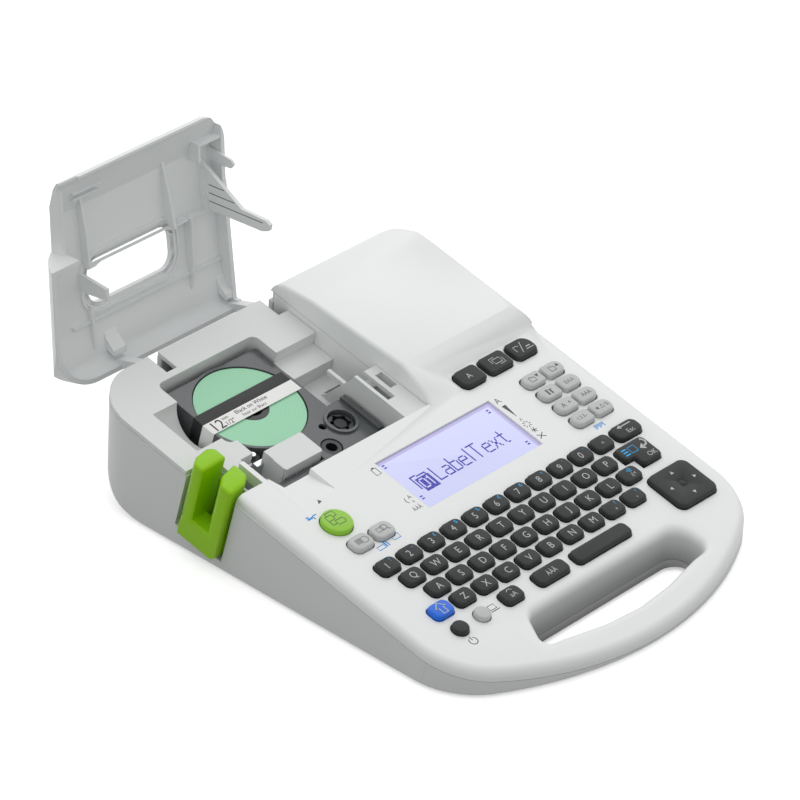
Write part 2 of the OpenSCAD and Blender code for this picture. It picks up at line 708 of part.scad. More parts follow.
module cover_closed() {
  difference() {
    intersection() {
     union() {
      difference() {
        intersection() {
          plan(0.1, 0, 64);
          along(-40, cover_r) intersection() {
            top2d(0);
            polygon([[comp_f + 0.35, -0.7], [53.9, -0.7], [53.9, -plate_dn + gap], [112, -plate_dn + gap],
              [130, 60], [comp_f + 0.35, 60]]);
          }
        }
        // inside
        intersection() {
          plan(cover_t, 0, 64);
          across(-60, 140) side2d(cover_t);
          along(-40, cover_r - cover_t) difference() {
            top2d(cover_t);
            translate([-60, -70]) square([60 + comp_f + 1.6, 140]);
          }
        }
        // the right flange is shallower
        along(60, 90) polygon([[52, -12], [52, -0.9], [104, -4.8], [104, -12]]);
        // clear of the cutter lever and of the finger platform
        deck() translate([-60, -20, -20]) cube([60 + cover_l, 20 + 53.9, 60]);
        deck() translate([-10, 0, -20]) cube([12, 42.6, 20.35]);
        // rounded front corner beside the hump
        deck() translate([0, 0, -20]) linear_extrude(60) difference() {
          translate([66.4, 10]) square([20, 27]);
          translate([66.4, 37]) circle(13.2);
        }
      }
      // edge beside the lever
      intersection() {
        along(cover_l, cover_l + cover_t) difference() {
          top2d(0);
          translate([-200, -100]) square([200 + 27.5, 200]);
          translate([-60, -100]) square([200, 100.35]);
        }
        deck() translate([-20, 0, 0]) cube([40, 54.5, 30]);
      }
      intersection() {
        along(-40, cover_l + cover_t) difference() {
          top2d(0.2);
          translate([-60, -100]) square([200, 100 - plate_dn + gap]);
        }
        deck() translate([-60, 53.9, -20]) cube([60 + cover_l + cover_t, cover_t, 60]);
        plan(0.1, 0, 64);
      }
      // ribs
      intersection() {
        along(-40, cover_r - 0.5) top2d(0.5);
        plan(1, 0, 64);
        union() {
          along(50.7, 51.9) polygon([[36, 10], [36, 5.4], [50, 1.6], [64.5, -1.2], [66, 10]]);
          along(6.4, 7.6) polygon([[33, 10], [33, 4.6], [50, 1.4], [64.5, 0.2], [66, 10]]);
          along(60.2, 61.4) polygon([[63, 10], [64, -0.6], [88, -0.8], [103, 2.4], [103, 10]]);
          along(6.4, 7.6) polygon([[80, 10], [81, 0.4], [98, -1], [103, 2.4], [103, 10]]);
          deck() rib(6.4, 63.9, 72, 1.2, 0.6);
          deck() rib(-2.4, 87, 80, 1.2, 0.6);
          deck() rib(1.4, 31.8, 15, 0.8, 1.8);
          deck() rib(1.4, 34.2, 13, 0.8, 1.8);
          // shelf at the front of the right flange
          deck() rib(65.6, 34.4, cover_r - 66.6, 1.2, -0.4);
          deck() rib(65.6, 34.4, 1.2, 7.8, -0.4);
        }
      }
      // rim round the window
      intersection() {
        along(-40, cover_r) difference() {
          top2d(1);
          top2d(cover_t + 0.7);
        }
        deck() translate([30, 73, -20]) linear_extrude(60) difference() {
          rrect(53.2, 25.6, 9.6);
          rrect(50.8, 23.2, 8.4);
        }
      }
      // finger that reaches into the ledge, with a ridge along its root and a blunt foot
      along(71.1, 72.9) polygon([[43.5, 6.4], [64.2, 4.8], [64.2, -28], [63, -31.4], [60.4, -32],
        [59, -30], [58.4, -17]]);
      along(70.3, 73.7) polygon([[43.5, 6.4], [64.2, 4.8], [64.2, 0.6], [60, 0.4], [46, 4.4]]);
      // hook beside it
      along(76.2, 77.4) polygon([[40.4, 6.6], [46.6, 6.2], [46.2, -7], [44.2, -8.5], [42.6, -7]]);
      // tab beside the window
      along(3.4, 5) polygon([[66.4, 4.4], [74, 3.8], [73, -11.5], [68.4, -11.5]]);
      // gussets and arms down to the hinge pin
      for (u = arm_u) {
        hinge_arm(u);
        intersection() {
          along(u - 3.4, u + 3.4) polygon([[88, 4], [100, 2.6], [103.4, -4.4], [101, -4.4], [97, -0.4]]);
          along(-40, cover_r) top2d(0.6);
        }
      }
     }
     across(-60, 140) side2d(0);
    }
    // seat of the window pane
    intersection() {
      deck() translate([30, 73, -20]) linear_extrude(60) rrect(48.6, 21, 7.3);
      along(-40, 200) difference() {
        top2d(cover_t);
        top2d(cover_t + 1.4);
      }
    }
    // window
    deck() translate([30, 73, -20]) linear_extrude(60) rrect(44.6, 18, 6);
    // bores of the pin
    pin_bores(pin_r + pin_gap);
  }
}

module rib(x, y, w, d, h) {
  translate([x, y, h]) cube([w, d, 12]);
}

module hinge_arm(u) {
  intersection() {
    translate([x0 + u - arm_w/2, yb - 4, hin_z]) cube([arm_w, 3.9, 30]);
    along(-40, 200) top2d(0.6);
  }
  translate([x0 + u - arm_w/2, yb - 4, hin_z]) cube([arm_w, hin_y + 2.2 - yb + 4, 4.6]);
  translate([x0 + u - arm_w/2, hin_y, hin_z]) rotate([0, 90, 0]) cylinder(r = knuck_r, h = arm_w);
}

// turns the cover about its pin from closed to the open rest position
module opened() {
  translate([0, hin_y, hin_z]) rotate([open_a, 0, 0]) translate([0, -hin_y, -hin_z]) children();
}

module cover() color("#d3d6d5") opened() cover_closed();

// clear pane snapped over the window from the inside
module cover_window() color("#e8f4f8") opened() intersection() {
  deck() translate([30, 73, -20]) linear_extrude(60) rrect(48, 20.4, 7);
  along(-40, 200) difference() {
    top2d(cover_t);
    top2d(cover_t + 1.1);
  }
}

module hinge_pin() color("#b9bdc0") {
  for (u = arm_u) translate([x0 + u - arm_w/2 - 2.5, hin_y, hin_z]) rotate([0, 90, 0])
    cylinder(r = pin_r, h = arm_w + 5);
}

// ---------- cutter ----------

lev_out = -23;
lev_top = 2;
lev_bot = -32.6;
lev_in2 = -9.6;

module lever2d() {
  difference() {
    union() {
      polygon([[lev_out, 28.9], [-13.7, 30.4], [lev_in2, 33.4], [lev_in2, 50.6], [-12.6, 52.2],
        [-19, 51.2], [lev_out, 48.6]]);
    }
    // funnel the tape comes out of
    polygon([[lev_out - 1, 34.2], [lev_out, 34.4], [-18.3, 38.3], [lev_in2 + 1, 40.6],
      [lev_in2 + 1, 44.4], [-11, 44.4], [lev_out, 43.9], [lev_out - 1, 43.9]]);
  }
}

lev_pu = -15.5;
lev_ph = -29.4;

// upright front and rear faces with rounded feet
module lever_side(x1, x2, v1, v2) {
  translate([x1, 0, 0]) rotate([90, 0, 90]) linear_extrude(x2 - x1) union() {
    translate([v1, lev_bot + 4]) square([v2 - v1, 50]);
    translate([v1 + 4, lev_bot]) square([v2 - v1 - 8, 10]);
    for (v = [v1 + 4, v2 - 4]) translate([v, lev_bot + 4]) circle(4);
  }
}

module cutter_lever() color("#86bc00") deck() {
  difference() {
    union() {
      intersection() {
        translate([0, 0, lev_bot]) linear_extrude(lev_top - lev_bot) lever2d();
        lever_side(lev_out - 2, 0, 28.6, 52.4);
      }
      // foot joining the two prongs
      intersection() {
        translate([lev_out, 29.4, lev_bot]) cube([lev_in2 - lev_out - 4, 20, 9.6]);
        lever_side(lev_out - 2, 0, 29.4, 49);
      }
    }
    // journal of the pivot
    translate([lev_pu, 20, lev_ph]) rotate([-90, 0, 0]) cylinder(r = 1.5 + run, h = 40);
  }
}

// pivot of the lever, held in the pocket's walls
module lever_pin() color("#b9bdc0") deck()
  translate([lev_pu, lev_v1 - 1.2, lev_ph]) rotate([-90, 0, 0]) cylinder(r = 1.5, h = lev_v2 - lev_v1 + 2.4);

module cutter_blade() color("#c4c8cb") deck() translate([0, 0, -26]) linear_extrude(13)
  polygon([[lev_in2, 34.6], [lev_in2 + 0.5, 34.6], [lev_in2 + 0.5, 41.4], [lev_in2, 42.4]]);

// ---------- print head ----------

module print_head() color("#6f7478") deck() {
  translate([9.6, 45.2, -26.6]) cube([7, 0.7, 14.4]);
  translate([9.6, 43.6, -26.6]) cube([3.6, 1.6 + eps, 14.4]);
}

// ---------- tape cassette ----------

cas_b = -cas_top - cas_h;
cw = 1.2;
module cas2d(e = 0) {
  translate([8 + e, 57 + e]) square([48.4 - 2*e, 34.8 - 2*e]);
  translate([roll_x, roll_y]) circle(23.6 - e, $fn = 96);
  translate([34.2 + e, 25.6 + e]) square([32 - 2*e, 26.9 - 2*e]);
  translate([34.2 + e, 25.6 + e]) square([22.2 - 2*e, 50 - 2*e]);
  translate([9 + e, 25.6 + e]) square([40 - 2*e, 6.4 - 2*e]);
}

module cassette_shell() color("#5d6163") deck() {
  difference() {
    union() {
      translate([0, 0, cas_b]) linear_extrude(cas_h) cas2d(0);
      // raised strip along the right edge
      translate([63.4, 31.4, -cas_top - eps]) cube([2.6, 21, 1.4]);
      // collar round the take-up core
      translate([take_x, take_y, -cas_top - eps]) cylinder(r = 6.9, h = 0.9);
    }
    translate([0, 0, cas_b + cw]) linear_extrude(cas_h - 2*cw) cas2d(cw);
    translate([take_x, take_y, cas_b - 1]) cylinder(r = 5.6, h = cas_h + 4);
    translate([sup_x, sup_y, cas_b - 1]) cylinder(r = 4.4, h = cas_h + 4);
    translate([roll_x, roll_y, cas_b - 1]) cylinder(r = 5.4, h = cw + 2);
    translate([46.5, 45.1, cas_b - 1]) cylinder(r = 1.6, h = cas_h + 4);
    // open above the roll
    translate([roll_x, roll_y, cas_b + 6]) cylinder(r = 22.4, h = cas_h, $fn = 96);
  }
}

module cassette_label() color("#f4f4f2") deck() {
  translate([7.6, 65.1, -cas_top]) cube([47.6, 11.2, 0.2]);
  // folded down the side of the cassette
  translate([0, 0, -cas_top - 10]) linear_extrude(10.2) intersection() {
    difference() {
      cas2d(-0.2);
      cas2d(0);
    }
    translate([5, 65.1]) square([10, 11.2]);
  }
}

module tape_roll() color("#9fdcb6") deck() translate([roll_x, roll_y, roll_z]) difference() {
  cylinder(r = roll_r, h = tape_h, $fn = 120);
  translate([0, 0, -1]) cylinder(r = core_r, h = tape_h + 2);
}
roll_z = -cas_top - 0.5 - tape_h;

// core of the roll, down to just over the cassette's floor
module roll_core() color("#4b5052") deck() translate([roll_x, roll_y, cas_b + cw + 0.3]) difference() {
  cylinder(r = core_r, h = roll_z + tape_h - cas_b - cw - 0.3);
  translate([0, 0, -1]) cylinder(r = bore_r, h = cas_h + 2);
}

module supply_core() color("#1d1f20") deck() translate([sup_x, sup_y, cas_b + cw + 0.3]) difference() {
  cylinder(r = 4.0, h = cas_h - 2*cw + 0.5);
  translate([0, 0, -1]) cylinder(r = 2.3, h = cas_h + 2);
}

module take_up_core() color("#2a2d2e") deck() translate([take_x, take_y, cas_b + cw + 0.3]) difference() {
  cylinder(r = 5.1, h = cas_h - 2*cw + 0.3);
  translate([0, 0, -1]) cylinder(r = 3.5, h = cas_h + 2);
  for (a = [0:60:300]) rotate([0, 0, a]) translate([-0.75, 0, -1]) cube([1.5, 4.2, cas_h + 2]);
}

// ---------- drive ----------

// straight-sided gear with one tooth centred on angle a
module gear2d(n, a) {
  pa = 360/n;
  r = gear_m*n/2;
  ro = r + 0.8*gear_m;
  ri = r - 1.05*gear_m;
  circle(ri, $fn = 60);
  for (i = [0:n - 1]) rotate(a + i*pa) polygon([
    [(ri - 0.3)*cos(pa*0.27), -(ri - 0.3)*sin(pa*0.27)], [r*cos(pa*0.21), -r*sin(pa*0.21)],
    [ro*cos(pa*0.1), -ro*sin(pa*0.1)], [ro*cos(pa*0.1), ro*sin(pa*0.1)],
    [r*cos(pa*0.21), r*sin(pa*0.21)], [(ri - 0.3)*cos(pa*0.27), (ri - 0.3)*sin(pa*0.27)]]);
}

// third point of a triangle over p, q with the sides rp, rq; s picks the side of the line
function tri(p, q, rp, rq, s) =
  let (d = norm(q - p), a = (rp*rp - rq*rq + d*d)/(2*d), h = sqrt(max(0, rp*rp - a*a)), t = (q - p)/d)
  p + a*t + s*h*[-t[1], t[0]];

function cdist(n1, n2) = 0.4*(n1 + n2);
// angle that puts a gap of gear b opposite the teeth of gear a
function mesh(pa, aa, na, pb, nb) =
  let (f = atan2(pb[1] - pa[1], pb[0] - pa[0]), ph = (f - aa)/(360/na))
  f + 180 + (ph - 0.5)*360/nb;

mot_p = [mot_x, mot_y];
take_p = [take_x, take_y];
plat_p = [plat_x, plat_y];
idl_p = tri(mot_p, take_p, cdist(n_mot, n_idl), cdist(n_idl, n_take), -1);
wide_p = tri(take_p, plat_p, cdist(n_take, n_wide), cdist(n_wide, n_plat), 1);
mot_a = 0;
idl_a = mesh(mot_p, mot_a, n_mot, idl_p, n_idl);
take_a = mesh(idl_p, idl_a, n_idl, take_p, n_take);
wide_a = mesh(take_p, take_a, n_take, wide_p, n_wide);
plat_a = mesh(wide_p, wide_a, n_wide, plat_p, n_plat);

module gear(p, n, a, bore) {
  deck() translate([p[0], p[1], gear_z]) difference() {
    linear_extrude(gear_t) gear2d(n, a);
    if (bore > 0) translate([0, 0, -1]) cylinder(r = bore, h = gear_t + 2);
  }
}

module motor() color("#8d9194") deck() translate([mot_x, mot_y, 0]) {
  translate([0, 0, floor_z]) cylinder(r = mot_r, h = -3.6 - floor_z);
  translate([0, 0, gear_z - 0.3]) cylinder(r = 0.8 - run, h = floor_z + 0.5 - gear_z);
}

module motor_pinion() color("#d8c27a") gear(mot_p, n_mot, mot_a, 0.8);
module idler_gear() color("#e6e3da") gear(idl_p, n_idl, idl_a, stub_r + run);
module wide_gear() color("#e6e3da") gear(wide_p, n_wide, wide_a, stub_r + run);

module take_up_spindle() color("#3a3d3e") {
  gear(take_p, n_take, take_a, 0);
  deck() translate([take_x, take_y, gear_z + gear_t - eps]) cylinder(r = 2.5, h = -cas_top - gear_z - gear_t - 1);
  deck() translate([take_x, take_y, floor_z + 0.6]) {
    for (a = [0:60:300]) rotate([0, 0, a]) translate([-0.5, 0, 0])
      cube([1, 4.2, -cas_top - floor_z - 3]);
  }
}

module platen_shaft() color("#b9bdc0") {
  gear(plat_p, n_plat, plat_a, 0);
  deck() translate([plat_x, plat_y, gear_z + gear_t - eps])
    cylinder(r = stub_r, h = -cas_top - gear_z - gear_t);
}

module platen_roller() color("#232526") deck() translate([plat_x, plat_y, floor_z + 1]) difference() {
  cylinder(r = platen_r, h = cas_h - 2);
  translate([0, 0, -1]) cylinder(r = stub_r, h = cas_h + 2);
}

// ---------- display and electronics ----------

module display_lens() color("#dfe2f5") deck() {
  translate([69.45 - 34, -2.5 - 17.4, -deck_t - 1.2]) cube([68, 34.8, 1.2]);
  translate([69.45 - lcd_w/2 + 0.15, -2.5 - lcd_d/2 + 0.15, -deck_t - eps])
    cube([lcd_w - 0.3, lcd_d - 0.3, 0.7]);
}

module display_panel() color("#c9ccf2") deck() {
  translate([69.45 - 34.5, -2.5 - 17.9, -7]) cube([69, 35.8, 7 - deck_t - 1.2]);
  translate([50, -2.5 - 16, -8.2]) cube([38, 3, 1.2 + eps]);
}

board_dn = -pad_z + 1.6;

// outline of the board under the keys, round the display
module board2d() {
  difference() {
    translate([-7, -70.2]) square([u_r - 5.7, 102.8]);
    translate([69.45 - lcd_w/2 - 3.5, -2.5 - lcd_d/2 - 4.5]) square([lcd_w + 7.5, lcd_d + 9.6]);
    translate([34, 17 - eps]) square([64, 30]);
    translate([-30, 3.6]) square([64 + eps, 60]);
    translate([hw - 9 - x0 - 4.6, -54]) square([20, 10]);
    translate([106, -24]) square([9, 9]);
  }
}

module key_board() color("#2f6b46") deck()
  translate([0, 0, -board_dn - 1.2]) linear_extrude(1.2) board2d();

// rubber sheet with a dome under every stem
module key_sheet() color("#9a9d9e") deck() {
  translate([0, 0, -board_dn]) linear_extrude(0.8) difference() {
    board2d();
    for (p = board_posts) translate([p[0], p[1]]) circle(1.7);
  }
  for (k = all_keys, p = stems(k)) translate([p[0], p[1], -board_dn + 0.8 - eps])
    cylinder(r = 2.4, h = 0.8 + eps);
}

module main_board() color("#2c6444") {
  translate([pcb_x[0], pcb_y[0], pcb_z]) cube([pcb_x[1] - pcb_x[0], pcb_y[1] - pcb_y[0], 1.4]);
  translate([-34, -34, pcb_z + 1.4 - eps]) cube([14, 14, 1.4]);
  translate([-10, -30, pcb_z + 1.4 - eps]) cube([9, 6, 1.2]);
  translate([-44, -18, pcb_z + 1.4 - eps]) cube([20, 5, 3.4]);
  for (i = [0:3]) translate([-8 + 5*i, -14, pcb_z + 1.4 - eps]) cylinder(r = 1.8, h = 2.6);
}

module batteries() color("#3f6fae") for (i = [0:bat_n - 1]) {
  x = x0 + bay_u + 0.4;
  s = i % 2;
  translate([x + (s == 0 ? 3 : 1), bay_y + bat_p*(i + 0.5), foot_h + lid_t + bat_r]) rotate([0, 90, 0]) {
    cylinder(r = bat_r, h = bat_len);
    translate([0, 0, s == 0 ? bat_len - eps : -1]) cylinder(r = 2.7, h = 1 + eps);
  }
}

module battery_contacts() color("#c8ccce") {
  for (s = [0, 1]) translate([x0 + bay_u + s*(bay_w - 0.4), bay_y + 1, foot_h + lid_t + 1])
    cube([0.4, bay_l - 2, 11]);
  // springs on the flat ends
  for (i = [0:bat_n - 1]) translate([x0 + bay_u + (i % 2 == 0 ? 0.4 - eps : bay_w - 3.4),
    bay_y + bat_p*(i + 0.5), foot_h + lid_t + bat_r]) rotate([0, 90, 0]) difference() {
      cylinder(r = 3.2, h = 3 + eps);
      translate([0, 0, -1]) cylinder(r = 2.2, h = 5);
    }
}

module battery_cover() color("#c2c5c4") intersection() {
  translate([x0 + bay_u - 2.45, bay_y - 1.35, foot_h]) cube([bay_w + 4.9, bay_l + 2.7, lid_t]);
  tail_solid(0);
}

module dc_socket() color("#26282a") difference() {
  union() {
    translate([jack_x - 5, yb - wall - 11, io_z - 5]) cube([10, 11, 10]);
    translate([jack_x, yb - 0.4, io_z]) rotate([90, 0, 0]) cylinder(r = 4.1, h = wall);
  }
  translate([jack_x, yb + 1, io_z]) rotate([90, 0, 0]) cylinder(r = jack_r, h = 11);
}

module usb_socket() color("#aeb2b4") difference() {
  union() {
    translate([port_x - 4.6, yb - wall - 8.6, io_z - 2.6]) cube([9.2, 8.6, 5.2]);
    translate([port_x - 4, yb - wall - 1, io_z - 2]) cube([8, wall + 0.6, 4]);
  }
  translate([port_x - 3.4, yb - wall - 6.6, io_z - 1.4]) cube([6.8, 12, 2.8]);
}

module feet() color("#3a3c3d") for (p = foot_at) translate([p[0], p[1], 0])
  cylinder(r = foot_r, h = foot_h + 0.5);

module screws() color("#8e9294") for (p = boss) translate([p[0], p[1], joint_z(p[1]) - 5.6]) difference() {
  union() {
    cylinder(r = 2.2, h = 1.6);
    cylinder(r = 1.05, h = 8.8);
  }
  translate([-0.4, -1.4, -1]) cube([0.8, 2.8, 1.7]);
  translate([-1.4, -0.4, -1]) cube([2.8, 0.8, 1.7]);
}

module keys_numbers() color("#3a3c3e") key_shape("numbers");
module keys_q() color("#3a3c3e") key_shape("q");
module keys_a() color("#3a3c3e") key_shape("a");
module keys_z() color("#3a3c3e") key_shape("z");
module key_esc() color("#3b3e40") key_shape("esc");
module key_ok() color("#3b3e40") key_shape("ok");
module key_arrows() color("#3b3e40") key_shape("arrows");
module key_shift() color("#1a72d2") key_shape("shift");
module key_case() color("#3a3c3e") key_shape("case");
module key_accent() color("#3a3c3e") key_shape("accent");
module key_space() color("#3a3c3e") key_shape("space");
module key_power() color("#2b2d2e") key_shape("power");
module key_link() color("#c2c5c4") key_shape("link");
module key_print() color("#8fc832") key_shape("print");
module key_copy() color("#c2c5c4") key_shape("copy");
module key_preview() color("#c2c5c4") key_shape("preview");
module key_fn_left() color("#2b2d2e") key_shape("fn_left");
module key_fn_mid() color("#2b2d2e") key_shape("fn_mid");
module key_fn_right() color("#2b2d2e") key_shape("fn_right");
module keys_file() color("#c2c5c4") key_shape("file");
module keys_form() color("#c2c5c4") key_shape("form");
module keys_style() color("#c2c5c4") key_shape("style");
module keys_symbol() color("#c2c5c4") key_shape("symbol");

upper_case();
lower_case();
grip_frame();
chassis();
tray();
cover();
cover_window();
hinge_pin();
cutter_lever();
cutter_blade();
lever_pin();
print_head();
cassette_shell();
cassette_label();
tape_roll();
roll_core();
supply_core();
take_up_core();
motor();
motor_pinion();
idler_gear();
take_up_spindle();
wide_gear();
platen_shaft();
platen_roller();
display_lens();
display_panel();
main_board();
key_board();
key_sheet();
batteries();
battery_contacts();
battery_cover();
dc_socket();
usb_socket();
feet();
screws();
keys_numbers();
keys_q();
keys_a();
keys_z();
key_esc();
key_ok();
key_arrows();
key_shift();
key_case();
key_accent();
key_space();
key_power();
key_link();
key_print();
key_copy();
key_preview();
key_fn_left();
key_fn_mid();
key_fn_right();
keys_file();
keys_form();
keys_style();
keys_symbol();
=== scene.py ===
"""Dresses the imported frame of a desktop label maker: case, keys, display, tape bay, cover and cutter.

Sizes inside are millimetres unless a name says otherwise; Blender gets metres.
Most pieces sit on the sloped deck and are worked out in deck coordinates:
u to the right from the column of the first digit key, v up the slope, h square to the deck.
"""

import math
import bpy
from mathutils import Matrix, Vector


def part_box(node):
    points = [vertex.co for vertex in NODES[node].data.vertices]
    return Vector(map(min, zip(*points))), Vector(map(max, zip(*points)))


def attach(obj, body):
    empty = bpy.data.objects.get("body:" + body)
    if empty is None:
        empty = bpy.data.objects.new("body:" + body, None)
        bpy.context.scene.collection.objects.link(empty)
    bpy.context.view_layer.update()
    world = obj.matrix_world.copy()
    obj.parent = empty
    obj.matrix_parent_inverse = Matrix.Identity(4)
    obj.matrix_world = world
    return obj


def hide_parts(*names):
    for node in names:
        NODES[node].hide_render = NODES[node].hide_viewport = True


bl_info = {
    "name": "Label Maker",
    "version": (1, 0, 0),
    "blender": (4, 5, 0),
    "location": "3D View > Sidebar > Label Maker",
    "description": "Builds a desktop label maker round its packed CAD frame",
    "category": "Add Mesh",
}

import bmesh
import bpy
import numpy as np
from bpy.props import FloatProperty, FloatVectorProperty, PointerProperty
from mathutils import Matrix, Vector

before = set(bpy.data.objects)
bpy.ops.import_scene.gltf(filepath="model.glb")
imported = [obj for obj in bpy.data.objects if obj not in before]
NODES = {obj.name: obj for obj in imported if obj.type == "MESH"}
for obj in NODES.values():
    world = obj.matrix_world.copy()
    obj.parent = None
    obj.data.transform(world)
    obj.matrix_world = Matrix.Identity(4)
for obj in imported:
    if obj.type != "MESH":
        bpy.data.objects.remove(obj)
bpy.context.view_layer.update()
MATS = {}
MM = 0.001

# the deck in the row frame: its slope, its height at mid depth and the column of the first digit key
TILT = math.radians(12.4)
COS_T, SIN_T = math.cos(TILT), math.sin(TILT)
DECK_Z = 30.8
U0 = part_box("upper_case")[0].x / MM + 19.7
# the cover's hinge line as (y, z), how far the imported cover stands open, and the side of its long finger
HINGE = (109.7, 35.5)
OPEN_ANGLE = math.radians(-107.1)
FINGER_U = 71.1
# the tape roll: its axis on the deck and the height of its top
ROLL_AT = (31.1, 69.0)
ROLL_TOP = -12.0
# half the thickness of a printed letter, and the share of a font's size that its capitals take
LETTER = 0.012
CAP_SHARE = 0.70
# a drawn sign: its height over the deck, and from there down to its foot and up to its top
SIGN = 0.02
SIGN_FOOT, SIGN_TOP = 0.01, 0.03


# ---- coordinates


def on_deck(p):
    """Deck coordinates to the row frame in metres:
    (u, v, h) goes to (u + u0, v cos - h sin, z0 + v sin + h cos)."""
    p = np.asarray(p, float)
    u, v, h = p[..., 0], p[..., 1], p[..., 2]
    return np.stack([u + U0, v * COS_T - h * SIN_T, DECK_Z + v * SIN_T + h * COS_T], -1) * MM


def to_deck(p):
    """Row frame in metres to deck coordinates, the inverse of on_deck."""
    x, y, z = p[0] / MM - U0, p[1] / MM, p[2] / MM - DECK_Z
    return x, y * COS_T + z * SIN_T, -y * SIN_T + z * COS_T


def on_open_cover(p):
    """Deck coordinates of the closed cover to the row frame of the open one, by a turn about the hinge."""
    q = on_deck(p)
    y, z = q[..., 1] - HINGE[0] * MM, q[..., 2] - HINGE[1] * MM
    c, s = math.cos(OPEN_ANGLE), math.sin(OPEN_ANGLE)
    q[..., 1] = y * c - z * s + HINGE[0] * MM
    q[..., 2] = y * s + z * c + HINGE[1] * MM
    return q


def on_finger(p):
    """Places (v, h, outwards) on the side of the cover's long finger to the row frame of the open cover."""
    return on_open_cover(np.stack([FINGER_U - p[..., 2], p[..., 0], p[..., 1]], -1))


def height_at(z, p):
    """Height over the deck at which the points (u, v) are z mm above the table: (z - z0 - v sin) / cos."""
    return ((z - DECK_Z) - p[..., 1] * SIN_T) / COS_T


def inset_loop(corners, radius, inset, k=7):
    """Closed outline with an arc at each corner, moved inwards by inset: centre + (radius - inset) dir at
    a convex corner, centre + (radius + inset) dir at a concave one. Returns an array (points, insets, 2)."""
    c = np.asarray(corners, float)
    r = np.broadcast_to(np.asarray(radius, float), len(c))[:, None]
    e = np.atleast_1d(np.asarray(inset, float))
    a, b = c - np.roll(c, 1, 0), np.roll(c, -1, 0) - c
    a /= np.linalg.norm(a, axis=1)[:, None]
    b /= np.linalg.norm(b, axis=1)[:, None]
    turn = np.arctan2(a[:, 0] * b[:, 1] - a[:, 1] * b[:, 0], (a * b).sum(1))[:, None]
    side = np.sign(turn)
    left = np.stack([-a[:, 1], a[:, 0]], 1)
    centre = c - a * r * np.tan(abs(turn) / 2) + left * r * side
    start = np.arctan2(-side[:, 0] * left[:, 1], -side[:, 0] * left[:, 0])
    ang = start[:, None] + turn * np.linspace(0, 1, k + 1)[None]
    rad = np.maximum(r - side * e[None], 0)
    d = np.stack([np.cos(ang), np.sin(ang)], -1)
    pts = centre[:, None, None] + rad[:, None, :, None] * d[:, :, None]
    slip = np.minimum(r - side * e[None], 0)
    bis = (centre - c)[:, None, None]
    bis = bis / np.maximum(np.linalg.norm(bis, axis=-1, keepdims=True), 1e-9)
    pts = pts - bis * slip[:, None, :, None] / np.maximum(np.cos(turn / 2), 0.3)[:, None, :, None]
    return pts.reshape(-1, len(e), 2)


def box_corners(cx, cy, w, d):
    """Corners of a rectangle in order, counter-clockwise."""
    x, y = w / 2, d / 2
    return [(cx - x, cy - y), (cx + x, cy - y), (cx + x, cy + y), (cx - x, cy + y)]


def ring_path(cx, cy, r, n=48):
    """Circle as corners for inset_loop."""
    t = np.linspace(0, 2 * np.pi, n, endpoint=False)
    return np.stack([cx + r * np.cos(t), cy + r * np.sin(t)], 1)


def stack_of(outlines, heights):
    """Outlines (points, rings, 2) with one height to a ring, as deck coordinates (points, rings, 3)."""
    z = np.broadcast_to(np.asarray(heights, float)[None, :, None], outlines.shape[:2] + (1,))
    return np.concatenate([outlines, z], -1)


# ---- meshes


def object_of(name, data):
    """New object in the scene for a mesh, a lamp or a camera."""
    ob = bpy.data.objects.new(name, data)
    bpy.context.scene.collection.objects.link(ob)
    return ob


def finish_piece(ob, body, mat, smooth=30.0):
    """Finish, shading and body of a piece. smooth is the angle over which an edge stays sharp."""
    me = ob.data
    me.materials.clear()
    me.materials.append(MATS[mat])
    if smooth:
        me.shade_smooth()
        me.set_sharp_from_angle(angle=math.radians(smooth))
    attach(ob, body)
    return ob


def new_object(name, verts, faces, body, mat, slot=None, smooth=30.0):
    """Piece from vertices and faces, with its doubles merged and its faces turned outwards."""
    me = bpy.data.meshes.new(name)
    me.from_pydata(np.asarray(verts).tolist(), [], [list(map(int, f)) for f in faces])
    me.validate()
    bm = bmesh.new()
    bm.from_mesh(me)
    bmesh.ops.remove_doubles(bm, verts=bm.verts, dist=2e-7)
    bmesh.ops.recalc_face_normals(bm, faces=bm.faces)
    bm.to_mesh(me)
    bm.free()
    return finish_piece(object_of(name, me), body, mat, smooth)


def grid_faces(n, m, wrap_n=False, wrap_m=False):
    """Quads of an n by m grid of points numbered row by row."""
    i = np.arange(n if wrap_n else n - 1)
    j = np.arange(m if wrap_m else m - 1)
    i, j = np.meshgrid(i, j, indexing="ij")
    i2, j2 = (i + 1) % n, (j + 1) % m
    return np.stack([i * m + j, i2 * m + j, i2 * m + j2, i * m + j2], -1).reshape(-1, 4)


def shell_of(loops):
    """Surface through a stack of outlines (points, rings, 3), closed by flat faces at both ends.
    Returns vertices and faces."""
    n, m = loops.shape[:2]
    faces = [list(q) for q in grid_faces(n, m, wrap_n=True)]
    faces.append([i * m for i in range(n)][::-1])
    faces.append([i * m + m - 1 for i in range(n)])
    return on_deck(loops).reshape(-1, 3), faces


def gather(parts):
    """Several vertex and face sets as one."""
    vs, fs, base = [], [], 0
    for v, f in parts:
        v = np.asarray(v).reshape(-1, 3)
        vs.append(v)
        fs.extend([[i + base for i in q] for q in f])
        base += len(v)
    return np.concatenate(vs), fs


def wall_and_edge(foot, top, edge):
    """Insets and heights of an upright wall under a quarter-round edge:
    inset = edge (1 - cos t), height = top - edge (1 - sin t)."""
    t = np.linspace(0, np.pi / 2, 5)
    inset = np.concatenate([[0.0], edge * (1 - np.cos(t))])
    return inset, np.concatenate([[foot], top - edge * (1 - np.sin(t))])


def prism(corners, radius, foot, top, edge, k=6):
    """Plate with rounded corners, an upright wall and a quarter-round top edge."""
    inset, height = wall_and_edge(foot, top, edge)
    return shell_of(stack_of(inset_loop(corners, radius, inset, k), height))


